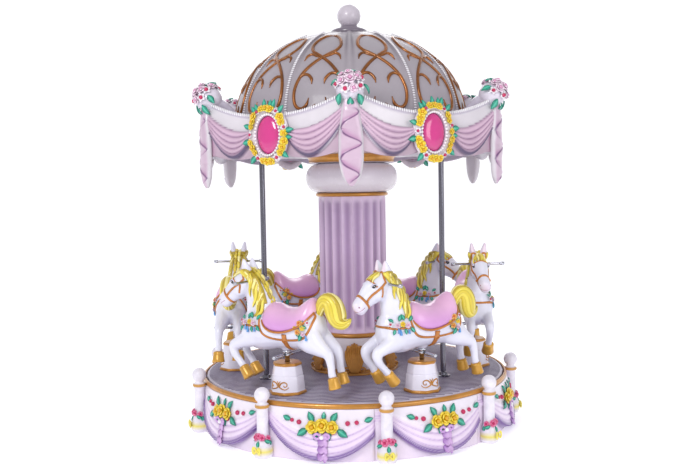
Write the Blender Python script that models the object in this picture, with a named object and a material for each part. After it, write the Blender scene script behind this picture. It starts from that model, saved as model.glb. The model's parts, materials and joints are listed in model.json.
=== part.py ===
# A small fairground carousel with six galloping horses, for Blender 4.5.
# Units are metres, +Z is up, and the origin is on the ground at the middle of the turntable.
# The fixed base stands still. The deck, column, canopy and horses turn clockwise about +Z.

from math import cos, pi, radians, sin

import bpy
import numpy as np
from mathutils import Matrix, Vector

# Overall plan
POST_RING_RADIUS = 1.050
BAY_COUNT = 9
FIRST_POST_ANGLE = radians(9.5)
CANOPY_SIDES = 6
HORSE_COUNT = 6
GAP = 0.0003  # between pieces that rest on each other
RUNNING_GAP = 0.008  # between the turning deck and the fixed rim

# Fixed base
SKIRT_RADIUS = 1.011
SKIRT_WALL = 0.012
SKIRT_HEIGHT = 0.296
SWAG_RELIEF = 0.046
POST_BACK = 0.042  # how far behind its own axis a post is cut flat
BAY_START = radians(3.4)  # a bay starts this far before its own post
BALL_RADIUS = 0.045
BALL_HEIGHT = 0.362
RIM_HEIGHT = 0.028
RIM_WIDTH = 0.018
HUB_RADIUS = 0.16
FRAME_HEIGHT = 0.04
FRAME_ARM_WIDTH = 0.06

# Deck
DECK_TOP = 0.325
DECK_THICKNESS = 0.030
DECK_RADIUS = SKIRT_RADIUS - RIM_WIDTH - RUNNING_GAP

# Column, heights from the ground
COLUMN_RADIUS = 0.223
LOWER_RING = (0.557, 0.587)
UPPER_RING = (1.476, 1.502)
CAPITAL_TOP = 1.695
CAPITAL_RADIUS = 0.3045
CROWN_RADIUS = 0.286
FLUTES = 20
FLUTE_DEPTH = 0.010
FOOT_RADIUS = 0.262
LEAF_HEIGHT = 0.200

# Canopy
CEILING_HEIGHT = 1.750
CEILING_THICKNESS = 0.025
CORNER_RADIUS = 1.022
VALANCE_WALL = 0.015
VALANCE_STEPS = 10
SWAG_DROP = 0.027
SWAG_FOLD = 0.010
VALANCE_BULGE = 0.040
SHOULDER_HEIGHT = 1.940  # where the top of the valance meets the dome
SHOULDER_THICKNESS = 0.012
VALANCE_TOP_MIDDLE = 1.959
VALANCE_TOP_CORNER = 2.080
VALANCE_BOTTOM = 1.735
MEDALLION_HEIGHT = 1.844
MEDALLION_SIZE = (0.155, 0.195)
ROSETTE_HEIGHT = 2.083
ROSETTE_RADIUS = 0.089
DRAPE_TIP = 1.545
DRAPE_HALF_WIDTH = 0.064
DOME_RADIUS = 0.760
DOME_RISE = 0.608
DOME_SPRING = 1.955
DOME_WALL = 0.020
DOME_RIBS = 12
RIB_RELIEF = 0.008
KNOB_RADIUS = 0.077
KNOB_HEIGHT = 2.664
POLE_RADIUS = 0.019
POLE_RING_RADIUS = 0.651
POLE_COUNT = 3

# Horses: local X is forwards, Z is from the top of the deck, and the origin is on the lifting pole
HORSE_RING_RADIUS = 0.800
HORSE_LIFTS = (0.0, 0.0, 0.052, 0.0, 0.020, 0.050)  # how far each one is up its stroke at rest
PEDESTAL_HEIGHT = 0.185
PEDESTAL_BORE = 0.0167
ROD_RADIUS = 0.015
ROD_BOTTOM = 0.032
BELLY_BOSS = 0.246
FOOTREST_HEIGHT = 0.228
FOOTREST_HALF = 0.140
FOOTREST_RADIUS = 0.009
HANDLE_PLACE = (0.250, 0.655)
HANDLE_HALF = 0.170
HANDLE_RADIUS = 0.008
HORSE_DETAIL = 0.5  # share of the joined mesh that is kept

# Each station is x, y, z, half height across the path, half width sideways
TORSO = (
    (-0.262, 0, 0.400, 0.020, 0.020), (-0.246, 0, 0.400, 0.070, 0.060),
    (-0.205, 0, 0.400, 0.110, 0.092), (-0.140, 0, 0.390, 0.120, 0.104),
    (-0.040, 0, 0.380, 0.116, 0.103), (0.060, 0, 0.374, 0.118, 0.103),
    (0.150, 0, 0.375, 0.140, 0.105), (0.225, 0, 0.390, 0.135, 0.094),
    (0.280, 0, 0.405, 0.090, 0.064), (0.302, 0, 0.412, 0.024, 0.024),
)
NECK = (
    (0.150, 0, 0.400, 0.125, 0.085), (0.178, 0, 0.480, 0.112, 0.072),
    (0.196, 0, 0.550, 0.094, 0.060), (0.222, 0, 0.620, 0.078, 0.052),
    (0.246, 0, 0.672, 0.058, 0.044),
)
HEAD = (
    (0.226, 0, 0.698, 0.014, 0.014), (0.245, 0, 0.687, 0.046, 0.040),
    (0.317, 0.003, 0.632, 0.077, 0.054), (0.349, 0.005, 0.608, 0.080, 0.053),
    (0.381, 0.009, 0.584, 0.070, 0.045), (0.411, 0.013, 0.557, 0.056, 0.037),
    (0.449, 0.020, 0.521, 0.042, 0.031), (0.458, 0.021, 0.513, 0.024, 0.018),
    (0.461, 0.021, 0.510, 0.010, 0.008),
)
EAR = (
    (0.262, 0.030, 0.715, 0.020, 0.013), (0.266, 0.036, 0.748, 0.016, 0.010),
    (0.271, 0.040, 0.776, 0.003, 0.003),
)
MANE = (
    (0.100, 0, 0.500, 0.020, 0.016), (0.122, 0, 0.556, 0.030, 0.030),
    (0.160, 0, 0.628, 0.032, 0.036), (0.198, 0, 0.684, 0.030, 0.036),
    (0.234, 0, 0.712, 0.024, 0.028), (0.264, 0, 0.720, 0.012, 0.012),
)
TAIL = (
    (-0.205, 0, 0.455, 0.020, 0.020), (-0.240, 0, 0.525, 0.032, 0.028),
    (-0.285, -0.002, 0.560, 0.040, 0.034), (-0.325, -0.005, 0.535, 0.046, 0.038),
    (-0.345, -0.008, 0.485, 0.046, 0.038), (-0.368, -0.012, 0.448, 0.038, 0.030),
    (-0.405, -0.016, 0.448, 0.024, 0.020), (-0.434, -0.020, 0.470, 0.006, 0.006),
)
SADDLE = (
    (0.120, 0, 0.470, 0.030, 0.040), (0.100, 0, 0.450, 0.070, 0.095),
    (0.055, 0, 0.445, 0.092, 0.113), (-0.020, 0, 0.430, 0.082, 0.116),
    (-0.090, 0, 0.435, 0.088, 0.115), (-0.150, 0, 0.455, 0.112, 0.108),
    (-0.190, 0, 0.465, 0.108, 0.092), (-0.218, 0, 0.470, 0.040, 0.045),
)
FORELEG_LEFT = (
    (0.150, 0.042, 0.355, 0.085, 0.050), (0.232, 0.054, 0.318, 0.062, 0.044),
    (0.300, 0.058, 0.290, 0.046, 0.036), (0.350, 0.060, 0.262, 0.036, 0.031),
    (0.335, 0.062, 0.212, 0.027, 0.025), (0.294, 0.062, 0.165, 0.025, 0.024),
    (0.262, 0.062, 0.125, 0.030, 0.028), (0.234, 0.062, 0.087, 0.037, 0.034),
)
FORELEG_RIGHT = (
    (0.150, -0.042, 0.355, 0.085, 0.050), (0.234, -0.054, 0.322, 0.062, 0.044),
    (0.302, -0.058, 0.296, 0.046, 0.036), (0.350, -0.060, 0.266, 0.036, 0.031),
    (0.342, -0.062, 0.214, 0.027, 0.025), (0.306, -0.062, 0.164, 0.025, 0.024),
    (0.278, -0.062, 0.122, 0.030, 0.028), (0.254, -0.062, 0.082, 0.037, 0.034),
)
HINDLEG_LEFT = (
    (-0.150, 0.038, 0.375, 0.100, 0.052), (-0.205, 0.052, 0.330, 0.085, 0.050),
    (-0.262, 0.058, 0.295, 0.060, 0.042), (-0.322, 0.060, 0.262, 0.037, 0.031),
    (-0.340, 0.062, 0.205, 0.026, 0.025), (-0.346, 0.062, 0.155, 0.026, 0.025),
    (-0.356, 0.062, 0.118, 0.032, 0.029), (-0.370, 0.062, 0.080, 0.038, 0.035),
)
HINDLEG_RIGHT = (
    (-0.150, -0.038, 0.375, 0.100, 0.052), (-0.200, -0.052, 0.332, 0.085, 0.050),
    (-0.255, -0.058, 0.300, 0.060, 0.042), (-0.310, -0.060, 0.268, 0.037, 0.031),
    (-0.326, -0.062, 0.212, 0.026, 0.025), (-0.332, -0.062, 0.160, 0.026, 0.025),
    (-0.342, -0.062, 0.122, 0.032, 0.029), (-0.356, -0.062, 0.084, 0.038, 0.035),
)


# Scene and materials
def clear_scene():
    for obj in list(bpy.data.objects):
        bpy.data.objects.remove(obj)


def material(name, colour, roughness, metallic=0.0):
    made = bpy.data.materials.new(name)
    made.use_nodes = True
    shader = made.node_tree.nodes["Principled BSDF"]
    shader.inputs["Base Color"].default_value = (*colour, 1.0)
    shader.inputs["Roughness"].default_value = roughness
    shader.inputs["Metallic"].default_value = metallic
    return made


clear_scene()
WHITE = material("white_gelcoat", (0.80, 0.77, 0.84), 0.25)
LILAC = material("lilac_gelcoat", (0.58, 0.47, 0.62), 0.30)
DECK_GREY = material("deck_grey", (0.42, 0.40, 0.47), 0.45)
GOLD = material("gold_paint", (0.62, 0.38, 0.12), 0.30, 0.6)
CHROME = material("chrome", (0.75, 0.75, 0.77), 0.12, 1.0)
STEEL = material("painted_steel", (0.25, 0.25, 0.27), 0.50, 0.4)


# Mesh helpers
def add_object(name, points, faces, finish):
    mesh = bpy.data.meshes.new(name)
    mesh.from_pydata([tuple(p) for p in points], [], faces)
    mesh.update()
    obj = bpy.data.objects.new(name, mesh)
    bpy.context.scene.collection.objects.link(obj)
    mesh.materials.append(finish)
    return obj


def smooth(obj, angle=40.0):
    obj.data.shade_smooth()
    obj.data.set_sharp_from_angle(angle=radians(angle))
    return obj


def join_rings(rings, closed_path):
    """Quads between rings of equal length. An open path gets a flat cap at each end."""
    sides = len(rings[0])
    points = [p for ring in rings for p in ring]
    spans = len(rings) if closed_path else len(rings) - 1
    faces = []
    for i in range(spans):
        j = (i + 1) % len(rings)
        for k in range(sides):
            m = (k + 1) % sides
            faces.append((i * sides + k, i * sides + m, j * sides + m, j * sides + k))
    if not closed_path:
        faces.append(tuple(range(sides))[::-1])
        faces.append(tuple(range((len(rings) - 1) * sides, len(rings) * sides)))
    return points, faces


def ring_shell(name, sections, finish):
    """A closed ring: each section is one closed outline, and they follow each other round the axis."""
    points, faces = join_rings(sections, closed_path=True)
    return add_object(name, points, faces, finish)


def turned_ring(name, profile, sides, finish):
    """A hollow turned piece. The profile is a closed outline of radius and height, anticlockwise."""
    sections = []
    for k in range(sides):
        a = 2 * pi * k / sides
        sections.append([(r * cos(a), r * sin(a), z) for r, z in profile])
    return ring_shell(name, sections[::-1], finish)


def turned_solid(name, profile, sides, finish, turn=0.0):
    """A solid turned piece, with flat ends. The profile runs from the bottom to the top."""
    rings = []
    for r, z in profile:
        rings.append([(r * cos(turn + 2 * pi * k / sides), r * sin(turn + 2 * pi * k / sides), z)
                      for k in range(sides)])
    points, faces = join_rings(rings, closed_path=False)
    return add_object(name, points, faces, finish)


def bar(name, start, end, radius, sides, finish):
    """A round bar between two points."""
    start, end = Vector(start), Vector(end)
    turn = (end - start).to_track_quat("Z", "Y")
    rings = []
    for centre in (start, end):
        ring = []
        for k in range(sides):
            a = 2 * pi * k / sides
            ring.append(centre + turn @ Vector((radius * cos(a), radius * sin(a), 0)))
        rings.append(ring)
    points, faces = join_rings(rings, closed_path=False)
    return add_object(name, points, faces, finish)


def limb(name, stations, sides, finish):
    """A body part with oval sections, lofted along a path in the plane of local X and Z."""
    path = np.array([s[:3] for s in stations], float)
    along = np.gradient(path, axis=0)
    rings = []
    for i, (x, y, z, half_up, half_side) in enumerate(stations):
        forward = Vector((along[i][0], 0, along[i][2])).normalized()
        across = Vector((-forward.z, 0, forward.x))
        rings.append([Vector((x, y, z)) + across * (half_up * sin(2 * pi * k / sides))
                      + Vector((0, half_side * cos(2 * pi * k / sides), 0)) for k in range(sides)])
    points, faces = join_rings(rings, closed_path=False)
    return add_object(name, points, faces, finish)


def apply_boolean(target, other, operation):
    """Joins or cuts the target with another object, and removes that object."""
    modifier = target.modifiers.new("join", "BOOLEAN")
    modifier.object = other
    modifier.operation = operation
    modifier.solver = "EXACT"
    graph = bpy.context.evaluated_depsgraph_get()
    mesh = bpy.data.meshes.new_from_object(target.evaluated_get(graph))
    target.modifiers.remove(modifier)
    target.data = mesh
    bpy.data.objects.remove(other)
    return target


def unite(first, *others):
    for other in others:
        apply_boolean(first, other, "UNION")
    return first


def thin_out(obj, share):
    """Keeps this share of the mesh's triangles, where they describe the shape best."""
    modifier = obj.modifiers.new("thin", "DECIMATE")
    modifier.ratio = share
    graph = bpy.context.evaluated_depsgraph_get()
    mesh = bpy.data.meshes.new_from_object(obj.evaluated_get(graph))
    obj.modifiers.remove(modifier)
    obj.data = mesh
    return obj


def facing_out(obj):
    """Turns a mesh right side out where its faces point inwards."""
    mesh = obj.data
    mesh.calc_loop_triangles()
    volume = 0.0
    for triangle in mesh.loop_triangles:
        a, b, c = (mesh.vertices[v].co for v in triangle.vertices)
        volume += a.dot(b.cross(c))
    if volume < 0:
        mesh.flip_normals()
    return obj


def place_copy(name, source, matrix):
    copy = bpy.data.objects.new(name, source.data)
    bpy.context.scene.collection.objects.link(copy)
    copy.matrix_world = matrix
    return copy


def round_z(angle):
    return Matrix.Rotation(angle, 4, "Z")


# Fixed base
def swag_offset(across, up):
    """How far a hanging swag stands out. across runs -1 to 1 over the bay, up runs 0 to 1."""
    hem = 0.10 + 0.75 * abs(across) ** 2.2
    if up < hem:
        return 0.004
    return 0.004 + SWAG_RELIEF * (1 - abs(across) ** 3) * (1 - up) / (1 - hem)


def make_skirt_panel():
    steps, rows = 8, 4
    span = 2 * pi / BAY_COUNT
    inner = SKIRT_RADIUS - SKIRT_WALL
    start = -BAY_START
    end = span - BAY_START - GAP / SKIRT_RADIUS
    sections = []
    for i in range(steps + 1):
        a = start + (end - start) * i / steps
        across = (a / span) * 2 - 1
        section = []
        for j in range(rows + 1):
            up = j / rows
            r = SKIRT_RADIUS + swag_offset(max(-1.0, min(1.0, across)), up) * (1 if 0 < i < steps else 0)
            section.append((r * cos(a), r * sin(a), SKIRT_HEIGHT * up))
        section.append((inner * cos(a), inner * sin(a), SKIRT_HEIGHT))
        section.append((inner * cos(a), inner * sin(a), 0.0))
        sections.append(section)
    points, faces = join_rings(sections, closed_path=False)
    return facing_out(add_object("panel", points, faces, WHITE))


def make_skirt_post():
    profile = [(0.042, 0.0), (0.055, 0.035), (0.055, 0.070), (0.034, 0.118), (0.034, 0.288),
               (0.041, 0.294), (0.041, 0.308), (0.022, 0.320)]
    for step in range(1, 5):
        a = -pi / 2 + pi * step / 5 * 1.06
        profile.append((BALL_RADIUS * cos(a), BALL_HEIGHT + BALL_RADIUS * sin(a)))
    profile.append((0.010, BALL_HEIGHT + BALL_RADIUS))
    sides = 8
    rings = []
    for r, z in profile:
        back = POST_BACK if z < SKIRT_HEIGHT else BALL_RADIUS
        rings.append([(POST_RING_RADIUS + max(r * cos(2 * pi * (k + 0.5) / sides), -back),
                       r * sin(2 * pi * (k + 0.5) / sides), z) for k in range(sides)])
    points, faces = join_rings(rings, closed_path=False)
    return facing_out(add_object("post", points, faces, WHITE))


def build_base():
    bay = unite(make_skirt_panel(), make_skirt_post())
    for i in range(BAY_COUNT):
        place_copy(f"skirt_bay_{i + 1}", bay, round_z(-pi / 2 + FIRST_POST_ANGLE + 2 * pi * i / BAY_COUNT))
    bpy.data.objects.remove(bay)

    low, high = SKIRT_HEIGHT + GAP, SKIRT_HEIGHT + GAP + RIM_HEIGHT
    outer, inner = SKIRT_RADIUS - 0.0035, SKIRT_RADIUS - RIM_WIDTH
    smooth(facing_out(turned_ring("deck_rim", [(inner, low), (outer, low), (outer, high - 0.006),
                                               (outer - 0.006, high), (inner, high)], 45, GOLD)))

    wall = SKIRT_RADIUS - SKIRT_WALL - 0.0014
    frame = facing_out(turned_ring("base_frame", [(wall - 0.03, 0), (wall, 0), (wall, FRAME_HEIGHT),
                                                  (wall - 0.03, FRAME_HEIGHT)], 36, STEEL))
    hub = turned_solid("hub", [(HUB_RADIUS, 0), (HUB_RADIUS, 0.06), (0.09, 0.09),
                               (0.09, DECK_TOP - DECK_THICKNESS - 0.0005)], 20, STEEL)
    arms = []
    for k in range(3):
        arm = box("arm", (-(wall - 0.015), -FRAME_ARM_WIDTH / 2, 0.002),
                  (wall - 0.015, FRAME_ARM_WIDTH / 2, FRAME_HEIGHT - 0.002), STEEL)
        arm.data.transform(round_z(pi * k / 3))
        arms.append(arm)
    unite(frame, hub, *arms)


def box(name, low, high, finish):
    (x0, y0, z0), (x1, y1, z1) = low, high
    rings = [[(x0, y0, z), (x1, y0, z), (x1, y1, z), (x0, y1, z)] for z in (z0, z1)]
    points, faces = join_rings(rings, closed_path=False)
    return facing_out(add_object(name, points, faces, finish))


# Deck and column
def build_deck():
    edge = DECK_THICKNESS * 0.15
    facing_out(turned_solid("deck", [(DECK_RADIUS, DECK_TOP - DECK_THICKNESS), (DECK_RADIUS, DECK_TOP - edge),
                                     (DECK_RADIUS - edge, DECK_TOP)], 45, DECK_GREY))


def fluted_ring(radius, z, depth):
    """One outline of the fluted shaft: a crest and a groove for each flute."""
    points = []
    for k in range(FLUTES * 2):
        r = radius - (depth if k % 2 else 0.0)
        a = 2 * pi * k / (FLUTES * 2)
        points.append((r * cos(a), r * sin(a), z))
    return points


def build_column():
    deck = DECK_TOP + GAP
    moulding = [(FOOT_RADIUS + 0.030, deck), (FOOT_RADIUS + 0.030, deck + 0.014), (FOOT_RADIUS, deck + 0.028)]
    foot = facing_out(turned_solid("column_foot", moulding, 18, GOLD))
    for k in range(6):
        leaf = leaf_bracket()
        leaf.data.transform(round_z(pi / 2 + pi / 3 * k))
        unite(foot, leaf)
    core = facing_out(turned_solid("core", [(0.2495, deck + 0.020), (0.2495, deck + 0.4)], 18, GOLD))
    apply_boolean(foot, core, "DIFFERENCE")

    base_low = deck + 0.020 + GAP
    profile = [(0.249, base_low), (0.2485, base_low + 0.050), (0.240, base_low + 0.090), (0.238, 0.520),
               (0.232, LOWER_RING[0] - GAP)]
    smooth(facing_out(turned_solid("column_base", profile, 18, WHITE)))

    rings = []
    for r, z in [(COLUMN_RADIUS + 0.010, LOWER_RING[0]), (COLUMN_RADIUS + 0.020, sum(LOWER_RING) / 2),
                 (COLUMN_RADIUS + 0.004, LOWER_RING[1])]:
        rings.append(fluted_ring(r, z, 0.0))
    rings.append(fluted_ring(COLUMN_RADIUS, LOWER_RING[1] + 0.050, FLUTE_DEPTH))
    rings.append(fluted_ring(COLUMN_RADIUS, UPPER_RING[0] - 0.050, FLUTE_DEPTH))
    for r, z in [(COLUMN_RADIUS + 0.004, UPPER_RING[0]), (COLUMN_RADIUS + 0.018, UPPER_RING[0] + 0.008),
                 (COLUMN_RADIUS + 0.018, UPPER_RING[1])]:
        rings.append(fluted_ring(r, z, 0.0))
    points, faces = join_rings(rings, closed_path=False)
    facing_out(add_object("column_shaft", points, faces, LILAC))

    low, high = UPPER_RING[1] + GAP, CAPITAL_TOP
    middle, half = (low + high) / 2, (high - low) / 2
    profile = [(COLUMN_RADIUS + 0.016, low)]
    for step in range(1, 7):
        a = -pi / 2 + pi * step / 7
        profile.append((CAPITAL_RADIUS - half + half * cos(a), middle + half * sin(a)))
    profile += [(CROWN_RADIUS - 0.070, high), (CROWN_RADIUS - 0.012, high + 0.004),
                (CROWN_RADIUS, high + 0.030), (CROWN_RADIUS + 0.030, CEILING_HEIGHT - GAP)]
    smooth(facing_out(turned_solid("capital", profile, 20, WHITE)))


def leaf_bracket():
    """A gilded leaf that leans against the foot of the column, thick below and rolled over at its top."""
    profile = [(0.240, 0.010, 0.060), (0.286, 0.012, 0.058), (0.282, 0.070, 0.050), (0.270, 0.130, 0.036),
               (0.276, 0.165, 0.030), (0.268, LEAF_HEIGHT, 0.020), (0.240, LEAF_HEIGHT - 0.012, 0.020)]
    sections = []
    for side in (-1, 1):
        sections.append([(r, side * half, DECK_TOP + z) for r, z, half in profile])
    points, faces = join_rings(sections, closed_path=False)
    return facing_out(add_object("leaf", points, faces, GOLD))


# Canopy
def valance_radius(share):
    """Outer radius of the canopy's edge. share runs from -1 to 1 between two corners."""
    half_side = pi / CANOPY_SIDES
    apothem = CORNER_RADIUS * cos(half_side) + VALANCE_BULGE * (1 - share ** 2)
    return apothem / cos(share * half_side)


def valance_top(share):
    return VALANCE_TOP_MIDDLE + (VALANCE_TOP_CORNER - VALANCE_TOP_MIDDLE) * abs(share) ** 2.4


def valance_bottom(share):
    """The lower edge hangs lowest in the middle of the swag on either side of the medallion."""
    return VALANCE_BOTTOM - SWAG_DROP * max(0.0, 1 - ((abs(share) - 0.5) / 0.34) ** 2)


def make_valance_panel():
    """One moulded side: a hanging wall, and a shoulder that runs from its top edge in to the dome."""
    rows = 2
    dome = DOME_RADIUS + RIB_RELIEF + 2 * GAP
    sections = []
    for i in range(VALANCE_STEPS + 1):
        share = min(-1.0 + 2.0 * i / VALANCE_STEPS, 0.999)
        angle = share * pi / CANOPY_SIDES
        r = valance_radius(share)
        top, bottom = valance_top(share), valance_bottom(share)
        section = []
        for j in range(rows + 1):
            fold = SWAG_FOLD * (1 - share ** 4) if j == 1 else 0.0
            section.append((r + fold, bottom + (top - bottom) * j / rows))
        inner = r - VALANCE_WALL
        section += [(inner, top), (dome, SHOULDER_HEIGHT), (dome, SHOULDER_HEIGHT - SHOULDER_THICKNESS),
                    (inner, top - SHOULDER_THICKNESS - 0.002), (inner, bottom)]
        sections.append([(r * cos(angle), r * sin(angle), z) for r, z in section])
    points, faces = join_rings(sections, closed_path=False)
    return facing_out(add_object("panel", points, faces, WHITE))


def make_medallion():
    face = valance_radius(0.0)
    half_width, half_height = MEDALLION_SIZE
    rings = []
    for out, share in ((-0.006, 0.90), (0.030, 1.0), (0.044, 0.50)):
        rings.append([(face + out, half_width * share * cos(2 * pi * k / 12),
                       MEDALLION_HEIGHT + half_height * share * sin(2 * pi * k / 12)) for k in range(12)])
    points, faces = join_rings(rings, closed_path=False)
    return facing_out(add_object("medallion", points, faces, WHITE))


def make_corner(grown):
    """The ribbon tail and the rosette over one corner, made larger all round by the grown distance."""
    outline = [(0.030, ROSETTE_HEIGHT - 0.03), (0.048, 1.960), (DRAPE_HALF_WIDTH, 1.820),
               (DRAPE_HALF_WIDTH, 1.680), (0.040, 1.590), (0.012, DRAPE_TIP - grown)]
    back, front = CORNER_RADIUS - 0.005 - grown, CORNER_RADIUS + 0.030 + grown
    rings = []
    for half, z in outline:
        half += grown
        rings.append([(back, -half, z), (front - 0.012, -half, z), (front, 0.0, z), (front - 0.012, half, z),
                      (back, half, z)])
    points, faces = join_rings(rings, closed_path=False)
    drape = facing_out(add_object("drape", points, faces, LILAC))
    rosette = make_rosette(ROSETTE_RADIUS + grown)
    return unite(drape, rosette)


def make_rosette(radius):
    profile = [(0.010, -radius)]
    for step in range(1, 5):
        a = -pi / 2 + pi * step / 5
        profile.append((radius * cos(a), radius * sin(a)))
    profile.append((0.010, radius))
    ball = facing_out(turned_solid("rosette", profile, 8, WHITE, turn=0.1))
    ball.data.transform(Matrix.Translation((CORNER_RADIUS - 0.030, 0, ROSETTE_HEIGHT)))
    return ball


def build_ceiling():
    """A flat disc that follows the inside of the valance."""
    outline = []
    for side in range(CANOPY_SIDES):
        for step in range(VALANCE_STEPS):
            share = -1.0 + 2.0 * step / VALANCE_STEPS
            reach = valance_radius(share) - VALANCE_WALL - 2 * GAP
            angle = (2 * side + share) * pi / CANOPY_SIDES
            outline.append((reach * cos(angle), reach * sin(angle)))
    rings = [[(x, y, z) for x, y in outline] for z in (CEILING_HEIGHT, CEILING_HEIGHT + CEILING_THICKNESS)]
    points, faces = join_rings(rings, closed_path=False)
    facing_out(add_object("ceiling", points, faces, WHITE))


def build_canopy():
    half_side = pi / CANOPY_SIDES
    corner = make_corner(0.0)
    corner.data.transform(round_z(-half_side))
    bay = unite(make_valance_panel(), make_medallion(), corner)
    next_corner = make_corner(2 * GAP)
    next_corner.data.transform(round_z(half_side))
    apply_boolean(bay, next_corner, "DIFFERENCE")
    for i in range(CANOPY_SIDES):
        place_copy(f"valance_bay_{i + 1}", bay, round_z(-2 * pi / 3 + i * 2 * half_side))
    bpy.data.objects.remove(bay)

    build_ceiling()

    segments = DOME_RIBS * 2
    foot = CEILING_HEIGHT + CEILING_THICKNESS + GAP
    levels = [0.0, 0.20, 0.40, 0.59, 0.78, 0.95]
    sections = []
    for k in range(segments):
        a = 2 * pi * k / segments
        rib = RIB_RELIEF if k % 2 == 0 else 0.0
        section = [(DOME_RADIUS + rib, foot)]
        for level in levels:
            lean = level * pi / 2
            section.append(((DOME_RADIUS + rib) * cos(lean), DOME_SPRING + (DOME_RISE + rib) * sin(lean)))
        for level in levels[::-1]:
            lean = level * pi / 2
            section.append(((DOME_RADIUS - DOME_WALL) * cos(lean),
                            DOME_SPRING + (DOME_RISE - DOME_WALL) * sin(lean)))
        section.append((DOME_RADIUS - DOME_WALL, foot))
        sections.append([(r * cos(a), r * sin(a), z) for r, z in section])
    smooth(facing_out(ring_shell("dome", sections, WHITE)), 25)

    crown = DOME_SPRING + DOME_RISE + RIB_RELIEF
    profile = [(0.060, crown - 0.0015), (0.120, crown - 0.0015), (0.114, crown + 0.006),
               (0.074, crown + 0.016), (0.056, crown + 0.028), (0.052, KNOB_HEIGHT - 0.062)]
    for step in range(2, 7):
        a = -pi / 2 + pi * step / 7 * 1.02
        profile.append((KNOB_RADIUS * cos(a), KNOB_HEIGHT + KNOB_RADIUS * sin(a)))
    profile.append((0.012, KNOB_HEIGHT + KNOB_RADIUS))
    smooth(facing_out(turned_solid("knob", profile, 12, WHITE)))

    for i in range(POLE_COUNT):
        a = pi / 2 + 2 * pi * i / POLE_COUNT
        low, high = DECK_TOP + GAP, CEILING_HEIGHT - GAP
        profile = [(0.045, low), (0.045, low + 0.006), (POLE_RADIUS, low + 0.014),
                   (POLE_RADIUS, high - 0.014), (0.045, high - 0.006), (0.045, high)]
        pole = facing_out(turned_solid(f"canopy_pole_{i + 1}", profile, 12, CHROME))
        pole.location = (POLE_RING_RADIUS * cos(a), POLE_RING_RADIUS * sin(a), 0)
        smooth(pole)


# Horses
def make_horse():
    parts = [limb("torso", TORSO, 10, WHITE), limb("neck", NECK, 8, WHITE), limb("head", HEAD, 8, WHITE),
             limb("mane", MANE, 6, WHITE), limb("tail", TAIL, 6, WHITE), limb("saddle", SADDLE, 10, LILAC)]
    for stations in (FORELEG_LEFT, FORELEG_RIGHT, HINDLEG_LEFT, HINDLEG_RIGHT):
        parts.append(limb("leg", stations, 6, WHITE))
    for side in (1, -1):
        parts.append(limb("ear", [(x, y * side, z, up, half) for x, y, z, up, half in EAR], 5, WHITE))
    boss = turned_solid("boss", [(0.030, BELLY_BOSS), (0.030, BELLY_BOSS + 0.05)], 8, WHITE)
    parts.append(boss)
    for part in parts:
        facing_out(part)
    horse = unite(*parts)
    thin_out(horse, HORSE_DETAIL)
    x, z = HANDLE_PLACE
    drill = facing_out(bar("drill", (x, -0.3, z), (x, 0.3, z), HANDLE_RADIUS + 0.0006, 8, CHROME))
    apply_boolean(horse, drill, "DIFFERENCE")
    return smooth(horse)


def make_rod():
    """The lifting rod with its footrest, welded into one piece."""
    rod = facing_out(turned_solid("rod", [(ROD_RADIUS, ROD_BOTTOM), (ROD_RADIUS, BELLY_BOSS - 0.010),
                                          (0.026, BELLY_BOSS - 0.006), (0.026, BELLY_BOSS - GAP)], 8, CHROME))
    rest = facing_out(bar("rest", (0, -FOOTREST_HALF, FOOTREST_HEIGHT), (0, FOOTREST_HALF, FOOTREST_HEIGHT),
                          FOOTREST_RADIUS, 6, CHROME))
    return unite(rod, rest)


def make_handlebar():
    x, z = HANDLE_PLACE
    rings = []
    for y, r in ((-HANDLE_HALF, 0.011), (-HANDLE_HALF + 0.020, 0.011), (-HANDLE_HALF + 0.024, HANDLE_RADIUS),
                 (HANDLE_HALF - 0.024, HANDLE_RADIUS), (HANDLE_HALF - 0.020, 0.011), (HANDLE_HALF, 0.011)):
        rings.append([(x + r * cos(2 * pi * k / 6), y, z + r * sin(2 * pi * k / 6)) for k in range(6)])
    points, faces = join_rings(rings, closed_path=False)
    return facing_out(add_object("handlebar", points, faces, CHROME))


def make_pedestal():
    low, top = GAP, PEDESTAL_HEIGHT
    profile = [(0.084, low), (0.112, low), (0.114, 0.014), (0.104, 0.022), (0.100, 0.060), (0.084, 0.120),
               (0.080, top - 0.016), (0.086, top - 0.010), (0.084, top), (PEDESTAL_BORE, top),
               (PEDESTAL_BORE, top - 0.030), (0.066, top - 0.040)]
    return facing_out(turned_ring("pedestal", profile, 8, WHITE))


def build_horses():
    horse, rod, handlebar, pedestal = make_horse(), make_rod(), make_handlebar(), make_pedestal()
    for i in range(HORSE_COUNT):
        angle = -2 * pi / 3 + i * 2 * pi / HORSE_COUNT
        spot = Matrix.Translation((HORSE_RING_RADIUS * cos(angle), HORSE_RING_RADIUS * sin(angle), DECK_TOP))
        seat = spot @ round_z(angle - pi / 2)
        raised = Matrix.Translation((0, 0, HORSE_LIFTS[i])) @ seat
        place_copy(f"pedestal_{i + 1}", pedestal, seat @ round_z(pi / 8))
        place_copy(f"horse_{i + 1}", horse, raised)
        place_copy(f"horse_rod_{i + 1}", rod, raised)
        place_copy(f"handlebar_{i + 1}", handlebar, raised)
    for source in (horse, rod, handlebar, pedestal):
        bpy.data.objects.remove(source)


build_base()
build_deck()
build_column()
build_canopy()
build_horses()
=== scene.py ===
# %% [markdown]
# # A fairground carousel with six galloping horses
#
# The real machine is a small ride in painted glass-fibre mouldings: a fixed ring with draped panels
# and ball posts, a turning deck, a fluted column, six horses on lifting rods, and a domed canopy.
# The solids, with their joints, are already packed, so this lesson only dresses them. Each cell makes
# one piece, puts it where its solid is, and says which moving body it rides on.

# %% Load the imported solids
import json
from math import asin, cos, pi, radians, sin

import bmesh
import bpy
import numpy as np
from mathutils import Matrix, Vector
from mathutils.bvhtree import BVHTree

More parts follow.
